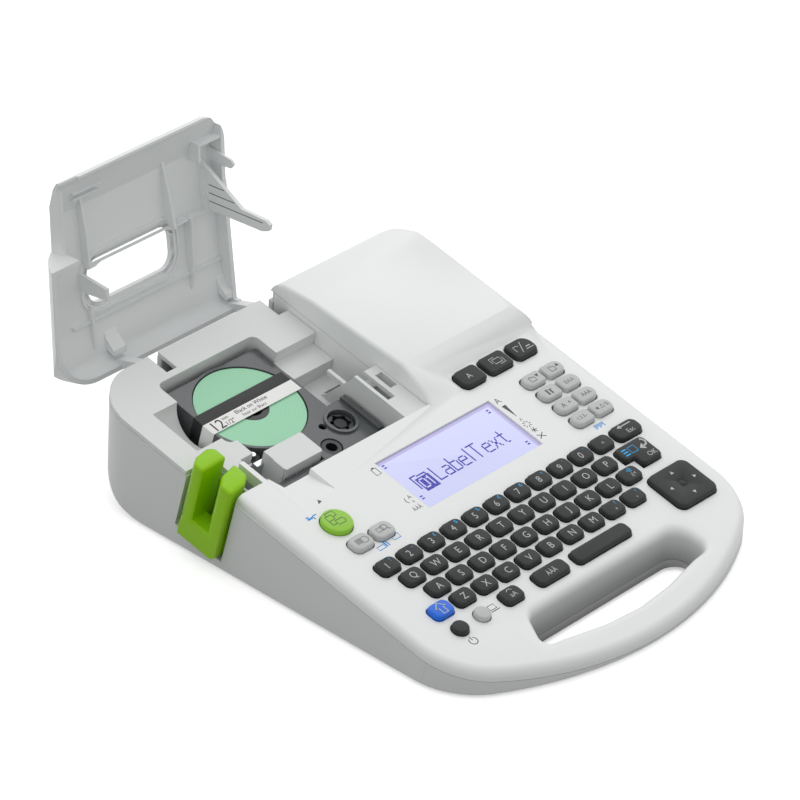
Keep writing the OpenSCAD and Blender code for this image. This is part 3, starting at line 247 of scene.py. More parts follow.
def plate(corners, foot, top):
    """Thin plate of a straight-sided outline between two heights."""
    p = np.asarray(corners, float)
    n = len(p)
    q = np.concatenate([np.c_[p, np.full(n, foot)], np.c_[p, np.full(n, top)]])
    faces = [list(range(n))[::-1], list(range(n, 2 * n))]
    faces += [[i, (i + 1) % n, (i + 1) % n + n, i + n] for i in range(n)]
    return on_deck(q), faces


def ribbon(path, width, foot, top, place=on_deck, closed=False):
    """Flat stroke along a path: each point moves half the width to both sides along the mitred normal."""
    p = np.asarray(path, float)
    n = len(p)
    d = np.roll(p, -1, 0) - np.roll(p, 1, 0)
    if not closed:
        d[0], d[-1] = p[1] - p[0], p[-1] - p[-2]
    d /= np.maximum(np.linalg.norm(d, axis=1)[:, None], 1e-9)
    nrm = np.stack([-d[:, 1], d[:, 0]], 1) * width / 2
    ring = np.stack([p - nrm, p + nrm, p + nrm, p - nrm], 1)
    faces = [list(q) for q in grid_faces(n, 4, wrap_n=closed, wrap_m=True)]
    if not closed:
        faces += [[0, 1, 2, 3], [4 * n - 1, 4 * n - 2, 4 * n - 3, 4 * n - 4]]
    return place(stack_of(ring, [foot, foot, top, top])).reshape(-1, 3), faces


def lathe(centre, profile, n):
    """Turned piece on an axis square to the deck: centre + r (cos t, sin t), with r and the height from
    the profile."""
    t = np.linspace(0, 2 * np.pi, n, endpoint=False)[:, None]
    pr = np.asarray(profile, float)
    x = centre[0] + pr[None, :, 0] * np.cos(t)
    y = centre[1] + pr[None, :, 0] * np.sin(t)
    q = stack_of(np.stack([x, y], -1), pr[:, 1])
    return on_deck(q).reshape(-1, 3), [list(f) for f in grid_faces(n, len(pr), wrap_n=True)]


# ---- prints


def lettering(name, text, size, at, body, mat, h=0.0, thin=0.0, width=1.0):
    """Printed letters as a thin plate: font outlines scaled to a cap height in mm, with their middle at a
    place (u, v). thin is taken off the strokes, and width narrows the letters."""
    cu = bpy.data.curves.new(name, "FONT")
    cu.body = text
    cu.size = size / CAP_SHARE
    cu.align_x = "CENTER"
    cu.align_y = "CENTER"
    cu.offset = -thin
    cu.resolution_u = 3
    cu.extrude = LETTER
    ob = object_of(name, cu)
    bpy.context.view_layer.update()
    me = bpy.data.meshes.new_from_object(ob.evaluated_get(bpy.context.evaluated_depsgraph_get()))
    bpy.data.objects.remove(ob)
    co = points_of(me)
    mid = (co[:, :2].max(0) + co[:, :2].min(0)) / 2
    q = np.stack([at[0] + (co[:, 0] - mid[0]) * width, at[1] + (co[:, 1] - mid[1]), h + co[:, 2]], 1)
    me.vertices.foreach_set("co", on_deck(q).astype(np.float32).ravel())
    me.update()
    me.name = name
    return finish_piece(object_of(name, me), body, mat, smooth=0)


def points_of(me):
    """Points of a mesh as an array."""
    co = np.empty(len(me.vertices) * 3, np.float32)
    me.vertices.foreach_get("co", co)
    return co.reshape(-1, 3).astype(float)


def join_letters(pieces, name, body, mat):
    """Several pieces of lettering as one."""
    vs, fs = gather([(points_of(o.data), [list(p.vertices) for p in o.data.polygons]) for o in pieces])
    for o in pieces:
        bpy.data.objects.remove(o)
    me = bpy.data.meshes.new(name)
    me.from_pydata(vs.tolist(), [], fs)
    return finish_piece(object_of(name, me), body, mat, smooth=0)


def line(width, *points):
    """Open stroke of a sign."""
    return points, width, False


def loop(width, *points):
    """Closed stroke of a sign."""
    return points, width, True


def moved(points, u, v):
    """Points of a sign moved to their place."""
    return np.asarray(points, float) + (u, v)


def mark(name, strokes, body, mat, h=SIGN):
    """Printed sign from strokes in deck coordinates."""
    low, high = h - SIGN_FOOT, h + SIGN_TOP
    parts = [ribbon(pts, width, low, high, closed=closed) for pts, width, closed in strokes]
    return new_object(name, *gather(parts), body, mat, smooth=0)


def spot(name, corners, body, mat, h=SIGN):
    """Printed sign that is a filled shape."""
    return new_object(name, *plate(corners, h - SIGN_FOOT, h + SIGN_TOP), body, mat, smooth=0)


# ---- finishes


def rgb(code):
    """sRGB hex to linear values: c / 12.92 below 0.04045, else ((c + 0.055) / 1.055) ^ 2.4."""
    c = np.array([int(code.lstrip("#")[i : i + 2], 16) for i in (0, 2, 4)]) / 255
    lin = np.where(c <= 0.04045, c / 12.92, ((c + 0.055) / 1.055) ** 2.4)
    return (*lin.tolist(), 1.0)


def add(tree, kind, links=(), **settings):
    """Adds a node with its settings. A link is (input, source node, output), with names or numbers."""
    nd = tree.nodes.new(kind)
    for key, value in settings.items():
        if key.startswith("in_"):
            k = key[3:]
            nd.inputs[int(k) if k.isdigit() else k.replace("_", " ")].default_value = value
        else:
            setattr(nd, key, value)
    for inp, src, out in links:
        tree.links.new(src.outputs[out], nd.inputs[inp])
    return nd


def empty_tree(owner):
    """Empty node tree of a material or a world."""
    owner.use_nodes = True
    owner.node_tree.nodes.clear()
    return owner.node_tree


# size in mm of the patches in which a finish's colour wanders, and the rings' distance on the wound tape
WANDER = 26
RING_GAP = 1.1

# what sets a metal apart
METAL = dict(metal=1.0)

# key, name, then colour, roughness, grain, depth, tint and edge as finish takes them, and what else it gets
FINISHES = (
    # ABS, injection moulded in a finely eroded tool: an even satin white, slightly cool
    ("shell_white", "moulded_abs_white", "#EDEFEE", 0.42, 0.55, 0.010, 0.012, 0.35, {}),
    # the same for the lining of the handle, whose rim lies flush in the deck and so gets no rounded edge;
    # its colour is darkened with depth as painted shade
    ("lining_painted_shade", "moulded_abs_lining", "#EDEFEE", 0.42, 0.55, 0.010, 0.012, 0.01, {}),
    # the same plastic in grey for the lower half
    ("shell_grey", "moulded_abs_grey", "#DCDEDE", 0.44, 0.55, 0.012, 0.012, 0.4, {}),
    # bare mouldings of the tape bay and its cover, glossier on their flats
    ("bay", "moulded_abs_bay", "#DEE0DF", 0.40, 0.6, 0.008, 0.015, 0.3, {}),
    ("cover", "moulded_abs_cover", "#E9EBEB", 0.40, 0.6, 0.008, 0.015, 0.35, {}),
    # polycarbonate from a polished tool: clear, with sharp reflections
    ("clear", "clear_polycarbonate", "#F4F7F8", 0.06, 3, 0.002, 0.0, 0.1,
     dict(rough_var=0.02, ior=1.58, alpha=0.12)),
    # steel, ground and nickel plated: a soft streaked shine
    ("steel", "nickel_plated_steel", "#C9CCCE", 0.28, 0.25, 0.006, 0.03, 0.1,
     dict(streak=(1, 6, 6), **METAL)),
    # lime ABS from a polished tool for the lever, and a softer green for the round key
    ("lime", "moulded_abs_lime", "#93CC00", 0.34, 0.8, 0.001, 0.006, 0.3, dict(spec=0.3)),
    ("print_green", "moulded_key_green", "#8FC832", 0.34, 0.5, 0.006, 0.02, 0.3, {}),
    # keycaps of hard-coated elastomer, almost matte
    ("key_dark", "keycap_charcoal", "#2D2E2F", 0.46, 0.35, 0.008, 0.05, 0.2, dict(spec=0.28)),
    # a blacker finish only for the floor of the four-way pad's dip: painted shade
    ("key_black", "keycap_black", "#191A1B", 0.40, 0.35, 0.008, 0.05, 0.2, dict(spec=0.3)),
    ("key_grey", "keycap_grey", "#BDBFBE", 0.40, 0.35, 0.006, 0.02, 0.2, {}),
    ("key_blue", "keycap_blue", "#0D69DE", 0.38, 0.35, 0.006, 0.03, 0.2, {}),
    # the cassette: smoke-grey styrene that shines, its acetal cores, coated tape and a paper label
    ("cassette", "cassette_smoke_styrene", "#55585A", 0.22, 0.8, 0.004, 0.05, 0.3, {}),
    ("core", "core_black_acetal", "#26282A", 0.35, 0.4, 0.006, 0.05, 0.2, {}),
    ("mint", "wound_tape_mint", "#A0DDB7", 0.42, 0.5, 0.004, 0.02, 0.1, {}),
    ("paper", "label_paper_white", "#F3F3F1", 0.5, 0.3, 0.003, 0.01, 0.02, {}),
    # backlit liquid crystal film, pale lavender, and a darker lavender band along its top and right edges
    # that stands for the recess wall seen there and paints the bezel's shade on the film
    ("lcd", "display_film_lavender", "#D2D6FB", 0.25, 1.2, 0.001, 0.006, 0.05, {}),
    ("lcd_edge", "display_gasket_lavender", "#CFC9F6", 0.4, 0.6, 0.002, 0.01, 0.05, {}),
    # moulded rubber of the feet and the key sheet, and ground rubber of the roller
    ("rubber", "foot_rubber_grey", "#5A5C5D", 0.8, 0.4, 0.03, 0.06, 0.3, {}),
    ("rubber_black", "roller_rubber_black", "#202122", 0.7, 0.3, 0.02, 0.05, 0.2, {}),
    # natural acetal of the gears, off-white and a little waxy, and the turned brass pinion
    ("acetal", "gear_acetal_natural", "#E4E1D8", 0.4, 0.4, 0.006, 0.02, 0.1, {}),
    ("brass", "turned_brass", "#D8BE78", 0.3, 0.2, 0.006, 0.03, 0.1, METAL),
    # solder mask on glass-fibre board, the shrink sleeve of the cells, and glass-filled polyester
    ("board", "solder_mask_green", "#1F5B3A", 0.3, 0.7, 0.01, 0.08, 0.1, {}),
    ("battery", "battery_sleeve_blue", "#2F5E9E", 0.3, 0.6, 0.003, 0.03, 0.3, {}),
    ("socket", "moulded_pbt_black", "#242628", 0.5, 0.4, 0.02, 0.05, 0.15, {}),
)

# printed inks and the display's dots: colour and roughness of an even film; the grey ink also paints the
# shade of the cover's finger grooves
INKS = (
    ("ink_black", "#1B1C1E", 0.5),
    ("ink_grey", "#6A6C6E", 0.5),
    ("ink_grey_dark", "#47494B", 0.5),
    ("ink_white", "#B9BCBC", 0.5),
    ("ink_blue", "#1E8FE0", 0.5),
    ("ink_cyan", "#1CB0EC", 0.5),
    ("display_dot_indigo", "#2622B4", 0.35),
)


def finish(name, hexcode, rough, grain, depth, tint, edge, spec=0.5, metal=0.0, rough_var=0.06, ior=1.46,
           alpha=1.0, streak=(1, 1, 1)):
    """Node material for a moulded, plated or printed surface. grain is the size in mm of its fine texture
    and depth the height of that; tint is how far the colour wanders; edge is the radius in mm of the
    rounded edge that catches the light; streak (x, y, z) stretches the grain."""
    mat = bpy.data.materials.new(name)
    t = empty_tree(mat)
    at = add(t, "ShaderNodeTexCoord")
    mp = add(t, "ShaderNodeMapping", [("Vector", at, "Object")], in_Scale=streak)
    fine = add(t, "ShaderNodeTexNoise", [("Vector", mp, 0)], in_Scale=1 / (grain * MM), in_Detail=3.0,
               in_Roughness=0.6)
    wide = add(t, "ShaderNodeTexNoise", [("Vector", mp, 0)], in_Scale=1 / (WANDER * MM), in_Detail=2.0)
    base = np.array(rgb(hexcode))[:3]
    low = (*np.clip(base * (1 - tint), 0, 1), 1.0)
    high = (*np.clip(base * (1 + tint), 0, 1), 1.0)
    ramp = add(t, "ShaderNodeMix", [("Factor", wide, 0)], data_type="RGBA", in_6=low, in_7=high)
    ro = add(t, "ShaderNodeMapRange", [("Value", fine, 0)], in_From_Min=0.3, in_From_Max=0.7,
             in_To_Min=rough - rough_var, in_To_Max=rough + rough_var)
    soft = add(t, "ShaderNodeBevel", samples=4, in_Radius=edge * MM)
    bump = add(t, "ShaderNodeBump", [("Height", fine, 0), ("Normal", soft, 0)], in_Strength=0.35,
               in_Distance=depth * MM)
    links = [("Base Color", ramp, 2), ("Roughness", ro, 0), ("Normal", bump, 0)]
    sh = add(t, "ShaderNodeBsdfPrincipled", links, in_Metallic=metal, in_IOR=ior,
             in_Specular_IOR_Level=spec, in_Alpha=alpha)
    add(t, "ShaderNodeOutputMaterial", [("Surface", sh, 0)])
    return mat


def shader_of(mat):
    """The principled shader of a finish."""
    return next(n for n in mat.node_tree.nodes if n.type == "BSDF_PRINCIPLED")


def times_colour(mat, factor):
    """Multiplies a finish's colour by the first output of a node."""
    t = mat.node_tree
    colour = shader_of(mat).inputs["Base Color"]
    mul = add(t, "ShaderNodeMix", [(7, factor, 0)], data_type="RGBA", blend_type="MULTIPLY", in_Factor=1.0)
    t.links.new(colour.links[0].from_socket, mul.inputs[6])
    t.links.new(mul.outputs[2], colour)


def deck_shade(mat, stops):
    """Multiplies a finish's colour by a factor of the height over the deck. A stop is (height, factor)."""
    t = mat.node_tree
    middle, reach = DECK_Z * COS_T, 20
    at = add(t, "ShaderNodeTexCoord")
    high = add(t, "ShaderNodeVectorMath", [(0, at, "Object")], operation="DOT_PRODUCT",
               in_1=(0, -SIN_T, COS_T))
    pos = add(t, "ShaderNodeMapRange", [("Value", high, "Value")], in_From_Min=(middle - reach) * MM,
              in_From_Max=(middle + reach) * MM)
    ramp = add(t, "ShaderNodeValToRGB", [("Fac", pos, 0)])
    while len(ramp.color_ramp.elements) < len(stops):
        ramp.color_ramp.elements.new(0.5)
    for el, (h, f) in zip(ramp.color_ramp.elements, sorted(stops)):
        el.position = (h + reach) / (2 * reach)
        el.color = (f, f, f, 1)
    times_colour(mat, ramp)


def wound_rings(mat):
    """Wound tape shows its many layers edge-on: rings about the roll's axis, drawn coarser than the real
    0.1 mm so that they show; ring = sin of the distance from the axis."""
    t = mat.node_tree
    at = add(t, "ShaderNodeTexCoord")
    mp = add(t, "ShaderNodeMapping", [("Vector", at, "Object")], vector_type="TEXTURE",
             in_Location=tuple(on_deck([*ROLL_AT, ROLL_TOP])), in_Rotation=(TILT, 0, 0))
    flat = add(t, "ShaderNodeVectorMath", [(0, mp, 0)], operation="MULTIPLY", in_1=(1, 1, 0))
    dist = add(t, "ShaderNodeVectorMath", [(0, flat, 0)], operation="LENGTH")
    wave = add(t, "ShaderNodeMath", [(0, dist, "Value")], operation="MULTIPLY",
               in_1=2 * math.pi / (RING_GAP * MM))
    sine = add(t, "ShaderNodeMath", [(0, wave, 0)], operation="SINE")
    ring = add(t, "ShaderNodeMapRange", [("Value", sine, 0)], in_From_Min=-1, in_To_Min=0.93, in_To_Max=1.0)
    times_colour(mat, ring)


def make_materials():
    """All finishes of the machine, and what some of them have beyond the table."""
    for key, name, code, rough, grain, depth, tint, edge, more in FINISHES:
        MATS[key] = finish(name, code, rough, grain, depth, tint, edge, **more)
    for name, code, rough in INKS:
        MATS[name] = finish(name, code, rough, grain=0.4, depth=0.004, tint=0.04, edge=0.02)
    # the joint line between the halves of the case, just under 5 mm below the deck
    deck_shade(MATS["shell_white"], [(-4.99, 1.0), (-4.95, 0.3), (-4.75, 0.3), (-4.71, 1.0)])
    # painted shade: the lining's colour gets darker with depth, on top of the shade that the lamps leave
    # there
    deck_shade(MATS["lining_painted_shade"], [(-12, 0.27), (-8, 0.36), (-3.2, 0.58), (-1.3, 0.86), (-0.3, 1.0)])
    wound_rings(MATS["mint"])
    # the lit film gives a little light of its own
    film = shader_of(MATS["lcd"])
    film.inputs["Emission Color"].default_value = rgb("#D6D6FF")
    film.inputs["Emission Strength"].default_value = 0.10


def dress(node, mat):
    """Gives a CAD node that keeps its own shape its finish."""
    me = NODES[node].data
    me.materials.clear()
    me.materials.append(MATS[mat])


# ---- solids taken over with rounded edges


def clean_copy(node):
    """A merged copy of a CAD node with its flat faces joined, as a bmesh."""
    bm = bmesh.new()
    bm.from_mesh(NODES[node].data)
    bmesh.ops.remove_doubles(bm, verts=bm.verts, dist=2e-6)
    bmesh.ops.dissolve_limit(bm, angle_limit=math.radians(0.6), verts=bm.verts, edges=bm.edges)
    return bm


def rounded_copy(node, rules, name, body, mat, smooth=32.0):
    """Copy of a CAD node whose chosen edges are rolled over.
    A rule is (radius in mm, segments, test on the edge's middle in deck coordinates and its angle)."""
    bm = clean_copy(node)
    for radius, seg, test in rules:
        picked = []
        for e in bm.edges:
            if len(e.link_faces) != 2:
                continue
            ang = math.degrees(e.calc_face_angle(0.0))
            if ang < 20 or not e.is_convex:
                continue
            if test(*to_deck((e.verts[0].co + e.verts[1].co) / 2), ang):
                picked.append(e)
        if picked:
            bmesh.ops.bevel(bm, geom=picked, offset=radius * MM, offset_type="OFFSET", segments=seg,
                            profile=0.5, affect="EDGES", clamp_overlap=False)
    bmesh.ops.remove_doubles(bm, verts=bm.verts, dist=1e-6)
    me = bpy.data.meshes.new(name)
    bm.to_mesh(me)
    bm.free()
    ob = finish_piece(object_of(name, me), body, mat, smooth)
    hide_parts(node)


# ---- settings


def length(name, description, default, low, high):
    """A length in mm that the user may change."""
    return FloatProperty(name=name, description=description + ", mm", default=default, min=low, max=high)


class LabelMakerSizes(bpy.types.PropertyGroup):
    """Sizes of the details that the dressed machine adds to the frame."""

    deck_roll: length("Deck edge", "Radius over which the deck rolls into the side walls", 3.0, 0.5, 4.0)
    brow_roll: length("Hump brow", "Radius where the hump's front turns into its top", 2.8, 0.5, 3.0)
    grip_roll: length("Handle edge", "Radius round the handle opening", 2.0, 0.3, 2.2)
    key_fillet: length("Key fillet", "Radius along the top edge of a key", 0.9, 0.2, 1.2)
    key_height: length("Key height", "Height of the key tops over the deck", 2.0, 1.6, 2.4)
    legend_height: length("Legend height", "Height of a capital letter on a key", 3.1, 2.0, 4.0)
    dot_pitch: length("Display dot", "Distance between the dots of the display", 0.66, 0.4, 0.8)


class LabelMakerLight(bpy.types.PropertyGroup):
    """Stage and lamps."""

    key_power: FloatProperty(name="Main lamp", description="Power of the large lamp",
                             default=3.8, min=0.0, subtype="POWER")
    fill_power: FloatProperty(name="Side lamp", description="Power of the lamp at the right",
                              default=1.8, min=0.0, subtype="POWER")
    sky: FloatProperty(name="Sky", description="Brightness of the surroundings", default=0.70, min=0.0)
    bounce: FloatProperty(name="Bounce", description="Share of light the floor gives back",
                          default=0.25, min=0.0, max=1.0)
    floor_glow: FloatProperty(name="Floor glow", description="Lift of the floor to plain white",
                              default=0.45, min=0.0)
    floor: FloatVectorProperty(name="Floor", description="Colour of the floor, linear",
                               default=(1.0, 1.0, 1.0), size=3, subtype="COLOR", min=0.0, max=1.0)


def sizes():
    """The user's sizes."""
    return bpy.context.scene.label_maker_sizes


def key_ink():
    """Height over the deck of a print on a key."""
    return sizes().key_height + LETTER


# ---- case


def outline_gap(x, y):
    """How far inside the case outline a point lies, in mm: the outline is a front bow, two front
    and two rear corner circles and straight sides."""
    half, back, bow, front_r, rear_r = 85.0, 107.5, 140.6, 30.0, 22.0
    bow_y = bow - back
    corner_x = half - front_r
    corner_y = bow_y - math.sqrt((bow - front_r) ** 2 - corner_x**2)
    ax = abs(x)
    if y > back - rear_r and ax > half - rear_r:
        return rear_r - math.hypot(ax - half + rear_r, y - back + rear_r)
    if y < corner_y:
        if math.atan2(ax, bow_y - y) < math.atan2(corner_x, bow_y - corner_y):
            return bow - math.hypot(ax, y - bow_y)
        if ax > corner_x:
            return front_r - math.hypot(ax - corner_x, y - corner_y)
    return min(half - ax, back - y)


def build_grip():
    """Lining of the handle opening, one ring from the deck down to the underside. The wall runs in straight
    lines from the upper outline to the lower one and its top edge is a quarter round. With h counted
    downwards, point(h) = upper + (lower - upper) h / depth + outward (R - sqrt(R^2 - (R - h)^2))."""
    roll, depth, k = sizes().grip_roll, 12.0, 6
    underside, proud = 1.32, 0.02
    radius = [7, 3.5, 20, 30, 30, 30, 20, 4.5, 8]
    front = [(19.9, -92), (29, -93.2), (48, -96.95), (66.2, -98.4), (84.4, -96.95)]
    upper = [(27.5, -76.05), *front, (103.4, -93.2), (115.3, -92), (112.8, -76.05)]
    lower = [(23, -83.7), *front, (98.4, -94.3), (108.4, -92.6), (104.6, -83.7)]
    outer = [(16.4, -72.9), (16.4, -95.3), (29, -97.0), (48, -100.4), (66.2, -101.6), (84.4, -100.4),
             (103.4, -97.0), (119.6, -95.3), (119.6, -72.9)]
    t = np.radians([84, 70, 55, 40, 26, 12, 0])
    down = roll * (1 - np.sin(t))
    top = inset_loop(upper, radius, -roll * (1 - np.cos(t)), k)
    wall = inset_loop(upper, radius, 0.0, k)
    lean = inset_loop(lower, radius, 0.0, k) - wall
    rim = inset_loop(outer, 3.0, 0.0, k)
    rings = [top + lean * down[None, :, None] / depth]
    heights = [np.broadcast_to(proud - down, rings[0].shape[:2])]
    # the joint between the case halves shows as a fine groove low on the wall
    for d, groove in ((6.0, 0), (9.3, 0), (9.35, 0.3), (9.65, 0.3), (9.7, 0)):
        rings.append(inset_loop(upper, radius, -groove, k) + lean * d / depth)
        heights.append(np.full(rings[-1].shape[:2], -d))
    foot = wall + lean
    rings += [foot, rim, rim]
    heights += [np.minimum(height_at(underside, foot), -9.75), height_at(underside, rim),
                np.full(rim.shape[:2], proud)]
    p = np.concatenate(rings, 1)
    q = np.concatenate([p, np.concatenate(heights, 1)[..., None]], -1)
    faces = grid_faces(*p.shape[:2], wrap_n=True, wrap_m=True)
    verts = on_deck(q).reshape(-1, 3)
    # the lining's finish darkens with depth below the deck: painted shade
    new_object("grip_lining", verts, faces, "case", "lining_painted_shade", "case_white", smooth=50)


def rim_edge(u, v, h, ang):
    """Edge of the deck against the outer wall, but not beside the hump, where the solid rolls by itself."""
    x, y = u + U0, v * COS_T - h * SIN_T
    beside_hump = u > 100 and v > 31.5
    return abs(outline_gap(x, y)) <= 0.35 and ang >= 35 and not beside_hump and h > -0.6


def hump_side_edge(u, v, h, ang):
    """Left edge of the hump, along the tape bay."""
    return abs(u - 80) < 0.3 and v > 23 and h > -0.5 and ang > 60


def brow_edge(u, v, h, ang):
    """Edge between the hump's sloped front and its top."""
    return 90 < u < 141 and abs(v - 36) < 0.4 and 3 < h < 6


def build_case():
    """Upper half with its edges rolled as the tool leaves them, the lining of the handle, and the finishes
    of the lower half and the tray.
    """
    s = sizes()
    rules = [(s.brow_roll, 6, brow_edge), (s.deck_roll, 5, rim_edge), (1.6, 4, hump_side_edge)]
    rounded_copy("upper_case", rules, "upper_shell", "case", "shell_white")
    build_grip()
    for node in ("lower_case", "grip_frame", "chassis"):
        dress(node, "shell_grey")
    dress("tray", "bay")


# ---- keys


# the rows of letter keys with their CAD nodes, and the nodes and middles of the keys in pairs
KEY_ROWS = ("1234567890=", "QWERTYUIOP", "ASDFGHJKL;", "ZXCVBNM,.")
ROW_NODES = ("keys_numbers", "keys_q", "keys_a", "keys_z")
PAIRS = ("keys_file", "keys_form", "keys_style", "keys_symbol")
PAIR_U = (124.3, 135.7)
PAIR_V = tuple(9.6 - 8.65 * j for j in range(len(PAIRS)))
# the size and corner radius of a letter key, the middle of the four-way pad and the foot of every cap
LETTER_KEY, LETTER_RADIUS = (9.9, 7.2), 2.6
PAD_AT = (130, -63.8)
CAP_FOOT = -2.9
# the key with a notch at its lower left corner, and the round keys' nodes with their own fillet
OK_KEY = [(125, -48.4), (136.3, -48.4), (136.3, -36.2), (119.9, -36.2), (119.9, -43.4), (125, -43.4)]
ROUND_KEYS = ("key_power", "key_link", "key_print")
ROUND_FILLET = 0.7

# keys that stand alone: node, outline, corner radius, finish and slot
CAPS = (
    ("key_esc", box_corners(134.2, -30.6, 14.2, 7.4), 3.0, "key_dark", "dark_key"),
    ("key_ok", OK_KEY, (2.4, 2.4, 2.4, 2.4, 2.4, 1.0), "key_dark", "dark_key"),
    ("key_shift", box_corners(0, -57.8, *LETTER_KEY), LETTER_RADIUS, "key_blue", "blue_key"),
    ("key_case", box_corners(28, -67.5, *LETTER_KEY), LETTER_RADIUS, "key_dark", "dark_key"),
    ("key_accent", box_corners(49.6, -67.7, 17, 7.2), LETTER_RADIUS, "key_dark", "dark_key"),
    ("key_space", box_corners(77.8, -67.9, 31, 6.8), LETTER_RADIUS, "key_dark", "dark_key"),
    ("key_power", ring_path(-0.7, -68.4, 3.3), 0.1, "key_dark", "black_key"),
    ("key_link", ring_path(11.6, -68, 3.3), 0.1, "key_grey", "pale_key"),
    ("key_print", ring_path(1.1, -3.2, 6.2, 72), 0.1, "print_green", "key_lime"),
    ("key_copy", box_corners(0.7, -16.1, 10, 7.4), 3, "key_grey", "pale_key"),
    ("key_preview", box_corners(12.1, -16.1, 10, 7.4), 3, "key_grey", "pale_key"),
    ("key_fn_left", box_corners(104.2, 24.9, 12.5, 9.2), (3.2, 2.0, 2.0, 3.2), "key_dark", "black_key"),
    ("key_fn_mid", box_corners(119.2, 24.9, 13.2, 9.2), 2.0, "key_dark", "black_key"),
    ("key_fn_right", box_corners(134.2, 24.9, 12.5, 9.2), (2.0, 3.2, 4.4, 2.0), "key_dark", "black_key"),
)


def key_places(row):
    """Middles of a row's keys: 12 mm apart, each row 4 mm further right and 9.07 mm lower."""
    n = len(KEY_ROWS[row])
    return np.stack([np.arange(n) * 12.0 + row * 4.0, np.full(n, -30.6 - 9.07 * row)], 1)


def cap(corners, radius, fillet):
    """Keycap: upright wall, quarter-round edge, flat top."""
    return prism(corners, radius, CAP_FOOT, sizes().key_height, fillet, k=7)


def make_caps(node, parts, mat, slot):
    """The caps of one CAD node, such as key_esc or keys_q, as one piece that stands for it."""
    ob = new_object(node.replace("key", "cap", 1), *gather(parts), "b_" + node, mat, slot, smooth=40)
    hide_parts(node)


def build_keys():
    """All keycaps."""
    fillet = sizes().key_fillet
    for row, node in enumerate(ROW_NODES):
        parts = [cap(box_corners(u, v, *LETTER_KEY), LETTER_RADIUS, fillet) for u, v in key_places(row)]
        make_caps(node, parts, "key_dark", "dark_key")
    for node, outline, radius, mat, slot in CAPS:
        edge = ROUND_FILLET if node in ROUND_KEYS else fillet
        make_caps(node, [cap(outline, radius, edge)], mat, slot)
    radii = ((3.2, 1.6, 1.6, 3.2), (1.6, 3.2, 3.2, 1.6))
    for node, v in zip(PAIRS, PAIR_V):
        parts = [cap(box_corners(u, v, 10.2, 6.6), radius, fillet) for u, radius in zip(PAIR_U, radii)]
        make_caps(node, parts, "key_grey", "pale_key")
    arrow_pad()


def arrow_pad():
    """Four-way pad: the cap's outline, then a small square dip blended in at its middle, whose floor gets a
    blacker plate as painted shade.
    """
    s = sizes()
    inset, height = wall_and_edge(CAP_FOOT, s.key_height, s.key_fillet)
    outer = inset_loop(box_corners(*PAD_AT, 21.8, 19.8), 3.6, inset)
    dip = inset_loop(box_corners(*PAD_AT, 4.6, 4.6), 1.2, [0.0, 0.25, 0.9, 1.0])
    heights = np.concatenate([height, s.key_height - np.array([0.0, 0.12, 0.5, 0.52])])
    pad = shell_of(stack_of(np.concatenate([outer, dip], 1), heights))
    make_caps("key_arrows", [pad], "key_dark", "dark_key")
    # painted shade: a black plate on the dip's floor darkens it
    floor = prism(box_corners(*PAD_AT, 4.0, 4.0), 0.9, s.key_height - 0.5, s.key_height - 0.44, 0.02)
    new_object("cap_arrows_dip", *floor, "b_key_arrows", "key_black", "dark_key", smooth=40)


# ---- prints on the keys


SECOND_SIGNS = {"1": "!", "2": '"', "3": "£", "4": "$", "5": "%", "6": "€", "7": "&", "8": "*", "9": "'",
                "0": "-", "=": ",", ",": "?", ".": "/"}
# signs that are printed smaller than the rest
SMALL_SIGNS = {'"': 1.4, "'": 1.4, "-": 1.4, ",": 1.4}


def row_legends(row, node):
    """Signs of one row of keys: white ones in the middle and cyan ones at the upper right."""
    body, tall = "b_" + node, sizes().legend_height
    white, cyan = (body, "ink_white", key_ink()), (body, "ink_cyan", key_ink())
    first, second = [], []
    for ch, (u, v) in zip(KEY_ROWS[row], key_places(row)):
        sign = SECOND_SIGNS.get(ch)
        if ch == ";":
            first.append(lettering("sign", ";(<", 1.9, (u + 1.0, v - 1.0), *white, thin=0.01))
            second.append(lettering("sign", "-@", 1.5, (u + 0.6, v + 1.6), *cyan))
        elif ch in ",.":
            first.append(lettering("sign", ch, tall, (u + 0.6, v - 1.2), *white))
        else:
            at = (u - 0.9 if ch.isdigit() else u, v - 0.3)
            high = tall * (0.62 if ch == "=" else 1.0)
            first.append(lettering("sign", ch, high, at, *white, thin=0.012, width=0.92))
        if sign:
            second.append(lettering("sign", sign, SMALL_SIGNS.get(sign, 1.7), (u + 2.4, v + 1.6), *cyan))
    join_letters(first, "legend_" + node[5:], body, "ink_white")
    if second:
        join_letters(second, "second_" + node[5:], body, "ink_cyan")


